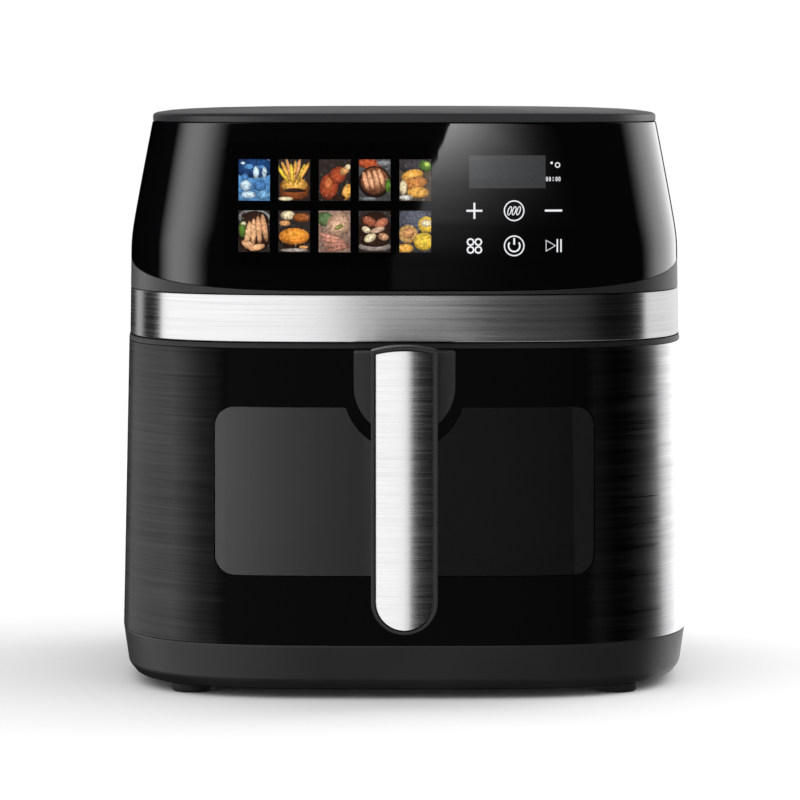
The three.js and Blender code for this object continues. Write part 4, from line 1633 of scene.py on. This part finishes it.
@dataclass
class CrisperPlate:
    """Loose perforated plate and its four soft studs."""

    size: tuple[float, float] = (223.4, 233.4)
    centre_y: float = -13
    stud: tuple[float, float] = (95, 100)
    stud_clear: tuple[float, float] = (26, 12)
    pitch: tuple[float, float] = (38, 15)
    stagger: float = 9
    reach: float = 96

    def sheet(self) -> None:
        """Perforated plate with a turned-down edge."""
        obj = place(plate("crisper_sheet", self.size, 28, 2, 12), 0, self.centre_y, 53)
        stud_x, stud_y = self.stud
        clear_x, clear_y = self.stud_clear
        grid = [(column * self.pitch[0] + (self.stagger if row % 2 else 0), row * self.pitch[1])
                for row in range(-6, 7) for column in range(-2, 3)]
        spots = [(x, y + self.centre_y, 50) for x, y in grid if abs(x) <= self.reach
                 and not (abs(abs(y) - stud_y) < clear_y and abs(abs(x) - stud_x) < clear_x)]
        slots = repeated(plate("slot", (24, 6), 2.9, 10, 5), spots)
        sockets = repeated(
            turned("socket", [(4.3, 50), (4.3, 60)], 24),
            [(sx * stud_x, sy * stud_y + self.centre_y, 0) for _, sx, sy in CORNERS],
        )
        cut(obj, join([slots, sockets]))
        soften(obj, 0.4, 2, 50)
        finish_piece(obj, Finish.NONSTICK, "plate", ["crisper_plate"])

    def studs(self) -> None:
        """Silicone studs gripped in the plate's corner holes."""
        profile = [(4.6, 40.2), (5.7, 40.8), (6, 42.2), (6, 52.0), (5.4, 52.7), (4, 52.7),
                   (4, 55.3), (5.5, 55.3), (6, 55.9), (5.2, 58.4), (4.0, 59)]
        stud = turned("stud", profile, 32)
        for name, sx, sy in CORNERS:
            obj = place(twin(stud, f"plate_stud_{name}"), sx * self.stud[0],
                        sy * self.stud[1] + self.centre_y)
            finish_piece(obj, Finish.SILICONE, "plate", [f"plate_bumper_{name}"])
        bpy.data.objects.remove(stud)

    def build(self) -> None:
        """Build the plate and its studs."""
        self.sheet()
        self.studs()


# ---------------------------------------------------------------- chamber and machinery


@dataclass
class Chamber:
    """Heater, guard and the finishes of everything inside the cabinet."""

    centre_y: float = -13
    coil_radii: tuple[float, float] = (84, 58)
    coil_steps: int = 22
    coil_z: float = 198
    tube_radius: float = 3.2
    guard_radii: tuple[float, ...] = (100, 78, 56, 34)
    guard_z: float = 189

    def coil(self) -> None:
        """Round heater tube: two turns with both ends turned up through the roof."""
        outer, inner = self.coil_radii
        points = [(-12, 78, 30), (-12, 78, 8)]
        for k in range(self.coil_steps + 1):
            turn = math.radians(100 + 31 * k)
            r = outer - (outer - inner) * (k / self.coil_steps) ** 1.4
            points.append((r * math.cos(turn), r * math.sin(turn), 0))
        points += [(12, 66, 8), (12, 78, 14), (12, 78, 30)]
        clear_selection()
        bpy.ops.curve.primitive_nurbs_path_add()
        obj = bpy.context.object
        obj.name = "heater_tube"
        spline = obj.data.splines[0]
        spline.points.add(len(points) - len(spline.points))
        for point, (x, y, z) in zip(spline.points, points):
            point.co = (x * MM, (y + self.centre_y) * MM, (self.coil_z + z) * MM, 1)
        spline.order_u, spline.use_endpoint_u, spline.resolution_u = 3, True, 8
        obj.data.bevel_depth, obj.data.bevel_resolution = self.tube_radius * MM, 4
        obj.data.use_fill_caps = True
        settle(obj)
        bpy.ops.object.convert(target="MESH")
        finish_piece(bpy.context.object, Finish.HEATER, "housing", ["heater_coil"], 60)

    def guard(self) -> None:
        """Wire guard below the heater: rings crossed by bars."""
        round_wire = [(math.cos(math.radians(a)), math.sin(math.radians(a)))
                      for a in range(0, 360, 36)]
        parts = [turned("ring", [(radius + x, z) for x, z in round_wire], 96, hollow=True)
                 for radius in self.guard_radii]
        bar = turned("bar", [(0.6, -99.2), (1.0, -98.8), (1.0, 98.8), (0.6, 99.2)], 12)
        place(bar, z=0.4, turn=(90, 0, 0))
        parts += [place(twin(bar, f"bar_{turn}"), turn=(0, 0, turn)) for turn in (0, 60, 120)]
        bpy.data.objects.remove(bar)
        obj = place(join(parts), 0, self.centre_y, self.guard_z)
        obj.name = "heater_guard_wire"
        finish_piece(obj, Finish.ZINC, "housing", ["heater_guard"], 60)

    def build(self) -> None:
        """Build the visible chamber parts and dress the rest."""
        self.coil()
        self.guard()
        dress(Finish.SHEET, ["chamber_liner", "heat_shield", "rail_left", "rail_right",
                             "hot_air_fan", "motor_bracket"])
        dress(Finish.ZINC, ["heater_bracket_a", "heater_bracket_b", "heater_bracket_c",
                            "temperature_probe", "thermal_fuse", "motor_shaft", "fan_nut",
                            "motor_body", "board_capacitor", "interlock_plunger"])
        dress(Finish.INNER_PLASTIC, ["cooling_fan", "cooling_duct", "interlock_switch"])
        dress(Finish.LAMINATE, ["power_board", "touch_board", "control_board"])
        dress(Finish.COPPER, ["board_transformer"])
        dress(Finish.DISPLAY_GLASS, ["display_module", "led_display"])
        dress(Finish.CERAMIC, ["chamber_lamp"])
        dress(Finish.CLEAR, ["lamp_lens"])


# ---------------------------------------------------------------- studio


class Group(Enum):
    """Which pieces a light reaches, by the starts of their names."""

    PANEL = ("control_panel", "display_area", "readout", "touch_marks", "menu_")
    BAND = ("steel_band_skin",)
    HANDLE = ("handle_face",)
    GLASS = ("window_glass_pane",)
    SKIN = ("drawer_front_skin", "body_shell_skin")
    LID = ("lid_skin",)
    FLOOR = ("studio_floor",)
    PLAIN = ()

    def members(self) -> list[bpy.types.Object]:
        """Mesh objects of the group; the plain group holds whatever no other group names.

        Returns:
            The objects.
        """
        meshes = [obj for obj in bpy.context.scene.objects if obj.type == "MESH"]
        if self.value:
            return [obj for obj in meshes if obj.name.startswith(self.value)]
        taken = tuple(start for group in Group for start in group.value)
        return [obj for obj in meshes if not obj.name.startswith(taken)]


@dataclass(frozen=True)
class Card:
    """Soft light card standing round the object and facing it.

    Directions are in degrees: across from straight in front (negative is left) and up from
    level. Levels are the card's brightness at its two sides, and soft is the share of its
    width over which each side fades in.
    """

    name: str
    group: Group
    across: tuple[float, float]
    up: tuple[float, float]
    levels: tuple[float, float]
    soft: tuple[float, float] = (0.1, 0.1)
    distance: float = 2.0
    target: tuple[float, float, float] = (0, 0, 0.17)

    def stand(self) -> bpy.types.Object:
        """Place the light, sized so that it fills its directions.

        Returns:
            The light.
        """
        middle = math.radians(sum(self.across) / 2)
        height = math.radians(sum(self.up) / 2)
        spread = [math.radians(pair[1] - pair[0]) / 2 for pair in (self.across, self.up)]
        way = Vector((math.sin(middle) * math.cos(height), -math.cos(middle) * math.cos(height),
                      math.sin(height)))
        clear_selection()
        bpy.ops.object.light_add(type="AREA", location=Vector(self.target) + way * self.distance)
        light = bpy.context.object
        light.name = self.name
        light.rotation_euler = way.to_track_quat("Z", "Y").to_euler()
        light.data.shape = "RECTANGLE"
        light.data.size, light.data.size_y = (2 * self.distance * math.tan(a) for a in spread)
        light.data.energy = math.pi * light.data.size * light.data.size_y
        receivers = bpy.data.collections.new(f"{self.name}_receivers")
        for obj in self.group.members():
            receivers.objects.link(obj)
        light.light_linking.receiver_collection = receivers
        return light

    def brightness(self, light: bpy.types.Object, tree: bpy.types.NodeTree) -> bpy.types.NodeSocket:
        """Brightness across the card, faded at both sides.

        Args:
            light: The card.
            tree: Its node tree.

        Returns:
            The brightness.
        """
        place_at = tree.nodes.new("ShaderNodeTexCoord").outputs["Object"]
        across = node_value(tree, "SEPARATE", place_at)
        half, width = light.data.size / 2, light.data.size
        level = ramp(tree, across, (-half, half), self.levels, "LINEAR")
        start = ramp(tree, across, (-half, -half + self.soft[0] * width + 1e-4), (0, 1))
        end = ramp(tree, across, (half - self.soft[1] * width - 1e-4, half), (1, 0))
        return node_value(tree, "MULTIPLY", node_value(tree, "MULTIPLY", level, start), end)

    def build(self) -> None:
        """Stand the card and give it its pattern."""
        light = self.stand()
        light.data.use_nodes = True
        tree = light.data.node_tree
        tree.links.new(self.brightness(light, tree), tree.nodes["Emission"].inputs["Strength"])


def ramp(
    tree: bpy.types.NodeTree, value: bpy.types.NodeSocket, source: tuple[float, float],
    result: tuple[float, float], kind: str = "SMOOTHSTEP",
) -> bpy.types.NodeSocket:
    """Map a value from one span to another, clamped.

    Args:
        tree: Node tree to add to.
        value: Value to map.
        source: Span that it comes from.
        result: Span that it goes to.
        kind: Interpolation between the two ends.

    Returns:
        The mapped value.
    """
    node = tree.nodes.new("ShaderNodeMapRange")
    node.interpolation_type = kind
    tree.links.new(value, node.inputs["Value"])
    names = ("From Min", "From Max", "To Min", "To Max")
    for name, number in zip(names, (*source, *result)):
        node.inputs[name].default_value = number
    return node.outputs["Result"]


def node_value(
    tree: bpy.types.NodeTree, operation: str, first: bpy.types.NodeSocket,
    second: object = None, axis: int = 0,
) -> bpy.types.NodeSocket:
    """One arithmetic node, or one axis of a vector.

    Args:
        tree: Node tree to add to.
        operation: Arithmetic operation, or SEPARATE for an axis.
        first: First value, or the vector.
        second: Second value, if the operation takes one.
        axis: Axis that SEPARATE picks.

    Returns:
        The result.
    """
    if operation == "SEPARATE":
        node = tree.nodes.new("ShaderNodeSeparateXYZ")
        tree.links.new(first, node.inputs[0])
        return node.outputs[axis]
    node = tree.nodes.new("ShaderNodeMath")
    node.operation = operation
    for socket, value in zip(node.inputs, (first, second)):
        if isinstance(value, bpy.types.NodeSocket):
            tree.links.new(value, socket)
        elif value is not None:
            socket.default_value = value
    return node.outputs[0]


@dataclass(frozen=True)
class SlantCard(Card):
    """Card with a sharp slanting left edge, brightest at its top and next to that edge.

    Edge and rise hold [height, value] pairs: how far across the edge stands, and how bright
    the card is there, both against the height on the card in metres.
    """

    edge: tuple[tuple[float, float], ...] = (
        (-0.72, -0.018), (-0.1, 0.004), (0.28, 0.012), (0.42, 0.032), (0.51, 0.072), (0.57, 0.12),
    )
    rise: tuple[tuple[float, float], ...] = (
        (-0.72, 0.1), (0.27, 0.45), (0.38, 1.1), (0.445, 2.1), (0.51, 4.4), (0.57, 7.2),
    )
    reach: float = 0.3

    def brightness(self, light: bpy.types.Object, tree: bpy.types.NodeTree) -> bpy.types.NodeSocket:
        """Brightness that falls off to the right of the slanting edge.

        Args:
            light: The card; not used here.
            tree: Its node tree.

        Returns:
            The brightness.
        """
        place_at = tree.nodes.new("ShaderNodeTexCoord").outputs["Object"]
        across = node_value(tree, "SEPARATE", place_at)
        up = node_value(tree, "SEPARATE", place_at, axis=1)
        past = node_value(tree, "SUBTRACT", across, self.along(tree, up, self.edge))
        lit = ramp(tree, past, (0, 0.004), (0, 1), "LINEAR")
        fall = node_value(tree, "EXPONENT", node_value(tree, "MULTIPLY", past, -1 / self.reach))
        level = node_value(tree, "MULTIPLY", fall, self.along(tree, up, self.rise))
        return node_value(tree, "MULTIPLY", lit, level)

    def along(
        self, tree: bpy.types.NodeTree, up: bpy.types.NodeSocket,
        points: tuple[tuple[float, float], ...],
    ) -> bpy.types.NodeSocket:
        """Value that follows [height, value] pairs, straight from each to the next.

        Args:
            tree: Node tree to add to.
            up: Height on the card in metres.
            points: The pairs, from the lowest up.

        Returns:
            The value.
        """
        total = None
        for (low, first), (high, last) in zip(points, points[1:]):
            step = ramp(tree, up, (low, high), (0, last - first), "LINEAR")
            total = step if total is None else node_value(tree, "ADD", total, step)
        return node_value(tree, "ADD", total, points[0][1])


@dataclass
class Studio:
    """Pale floor, soft light cards and the camera."""

    camera_x: float = -0.0024
    camera_y: float = -2.725
    camera_z: float = 0.338
    pitch: float = 3.888
    lens: float = 216.6
    floor_size: float = 600
    surroundings: float = 1.27

    def camera(self) -> None:
        """Long-lens camera a little above the lid's height, looking slightly down."""
        clear_selection()
        bpy.ops.object.camera_add(
            location=(self.camera_x, self.camera_y, self.camera_z),
            rotation=(math.radians(90 - self.pitch), 0, 0),
        )
        camera = bpy.context.object
        camera.name = "studio_camera"
        camera.data.lens, camera.data.sensor_width = self.lens, 36
        camera.data.clip_end = 1000
        bpy.context.scene.camera = camera

    def floor(self) -> None:
        """Pale floor, seen only from above, that runs on to the horizon, with a painted shadow near
        the object's left.
        """
        clear_selection()
        bpy.ops.mesh.primitive_plane_add(size=1)
        floor = bpy.context.object
        floor.name = "studio_floor"
        edit(floor)
        size = (self.floor_size, self.floor_size, 1)
        bpy.ops.transform.resize(value=size, center_override=(0, 0, 0))
        bpy.ops.object.mode_set(mode="OBJECT")
        settle(floor)
        s = Shader("studio_floor")
        where = s.add("TexCoord").outputs["Object"]
        side = s.add("SeparateXYZ", {0: where}).outputs["X"]
        away = s.add("VectorMath", {0: where}, operation="LENGTH").outputs["Value"]
        # painted shadow: the floor is darker on the left and near the object, standing in for the
        # object's shadow
        painted_shadow = s.math("MULTIPLY", s.span(side, 1, 0, -0.22, 0.12), s.span(away, 1, 0, 0.4, 1.8))
        soft = s.noise((1.5, 1.5, 1.5), 2)
        pale = s.blend(s.span(soft, 0, 1), (0.91, 0.91, 0.91), (0.93, 0.93, 0.93))
        s.feed("Base Color", s.blend(painted_shadow, pale, (0.885, 0.885, 0.885)))
        s.set(Roughness=0.6, Specular_IOR_Level=0.1)
        behind = s.add("NewGeometry").outputs["Backfacing"]
        clear = s.add("BsdfTransparent").outputs[0]
        one_sided = s.add("MixShader", {0: behind, 1: s.surface.outputs[0], 2: clear})
        s.tree.links.new(one_sided.outputs[0], s.output.inputs[0])
        floor.data.materials.append(s.material)
        floor.visible_glossy = False
        floor.visible_shadow = False

    def world(self) -> None:
        """Even pale surroundings that light the scene but stay out of reflections."""
        world = bpy.data.worlds.new("studio_world")
        bpy.context.scene.world = world
        world.use_nodes = True
        background = world.node_tree.nodes["Background"]
        background.inputs["Color"].default_value = (1, 1, 1, 1)
        background.inputs["Strength"].default_value = self.surroundings
        world.cycles_visibility.glossy = False
        bpy.context.scene.view_settings.view_transform = "Standard"

    def lights(self) -> None:
        """Soft cards, each for the pieces whose sheen it shapes."""
        tall = (-32, 32)
        panel, band, handle = Group.PANEL, Group.BAND, Group.HANDLE
        glass, skin, plain, lid = Group.GLASS, Group.SKIN, Group.PLAIN, Group.LID
        cards = [
            Card("panel_left", panel, (-113, -52), (-20, 60), (3.3, 3.3), (0.5, 0.45)),
            Card("panel_right", panel, (96, 168), (-20, 50), (1.7, 1.7), (0.4, 0.1)),
            SlantCard("panel_slant", panel, (-40, 40), (-3, 26.5), (1, 1), (0, 0), 3.0,
                      (0, 0, 0.27)),
            Card("band_left", band, (-108, -1), tall, (1.55, 1.45), (0.04, 0.02)),
            Card("band_front", band, (-4, 60), tall, (0.09, 0.0), (0.02, 0.3)),
            Card("band_right", band, (99, 172), tall, (1.05, 0.95), (0.07, 0.1)),
            Card("band_rear", band, (-152, -132), tall, (0.6, 0.5), (0.3, 0.3)),
            Card("handle_left", handle, (-50, 4.8), tall, (1.5, 1.5), (0.05, 0.01)),
            Card("glass_left", glass, (-75, 0.5), tall, (2.7, 0.5), (0.1, 0.01)),
            Card("glass_front", glass, (-2, 62), tall, (0.2, 0.03), (0.02, 0.2)),
            Card("glass_edge", glass, (34.5, 62), tall, (0.1, 0.13), (0.02, 0.2)),
            Card("skin_right", skin, (112, 172), tall, (1.6, 3.6), (0.2, 0.05)),
            Card("skin_left", skin, (-156, -45), tall, (0.2, 0.19), (0.05, 0.3)),
            Card("skin_front", skin, (-60, 60), tall, (0.4, 0.07), (0.3, 0.2)),
            Card("plain_left", plain, (-150, 22), tall, (1.95, 0.1), (0.05, 0.2)),
            Card("plain_right", plain, (104, 170), tall, (0.9, 1.4), (0.2, 0.05)),
            Card("lid_left", lid, (-100, -20), tall, (1.5, 0.9), (0.3, 0.3)),
            Card("lid_right", lid, (100, 150), tall, (1.5, 1.5), (0.2, 0.2)),
            Card("lid_rear", lid, (135, 225), (0, 36), (1.1, 0.02), (0.1, 0.1)),
            Card("floor_key", Group.FLOOR, (70, 130), (20, 60), (1.3, 1.3), (0.1, 0.1)),
            Card("band_behind", band, (168, 192), tall, (0.4, 0.4), (0.3, 0.3)),
            Card("skin_behind", skin, (168, 192), tall, (0.6, 0.6), (0.3, 0.3)),
            Card("top_fill", plain, (140, 220), (45, 89), (0.5, 0.5), (0.2, 0.2)),
            Card("band_low", band, (-60, 60), (-150, -30), (0.6, 0.6), (0.2, 0.2)),
            Card("handle_low", handle, (-60, 60), (-150, -30), (0.32, 0.32), (0.2, 0.2)),
            Card("skin_low", skin, (-60, 60), (-150, -30), (0.3, 0.3), (0.2, 0.2)),
        ]
        for card in cards:
            card.build()

    def build(self) -> None:
        """Build the floor, the surroundings and the lights."""
        self.floor()
        self.world()
        self.lights()


def main() -> None:
    """Build the sub-assemblies in order."""
    logging.basicConfig(level=logging.INFO, format="%(name)s: %(message)s")
    studio = Studio()
    studio.camera()
    form = CabinetForm()
    Base(form).build()
    panel = Cabinet(form).build()
    PanelGraphics(panel).build()
    Drawer(form).build()
    CrisperPlate().build()
    Chamber().build()
    studio.build()


if __name__ == "__main__":
    main()
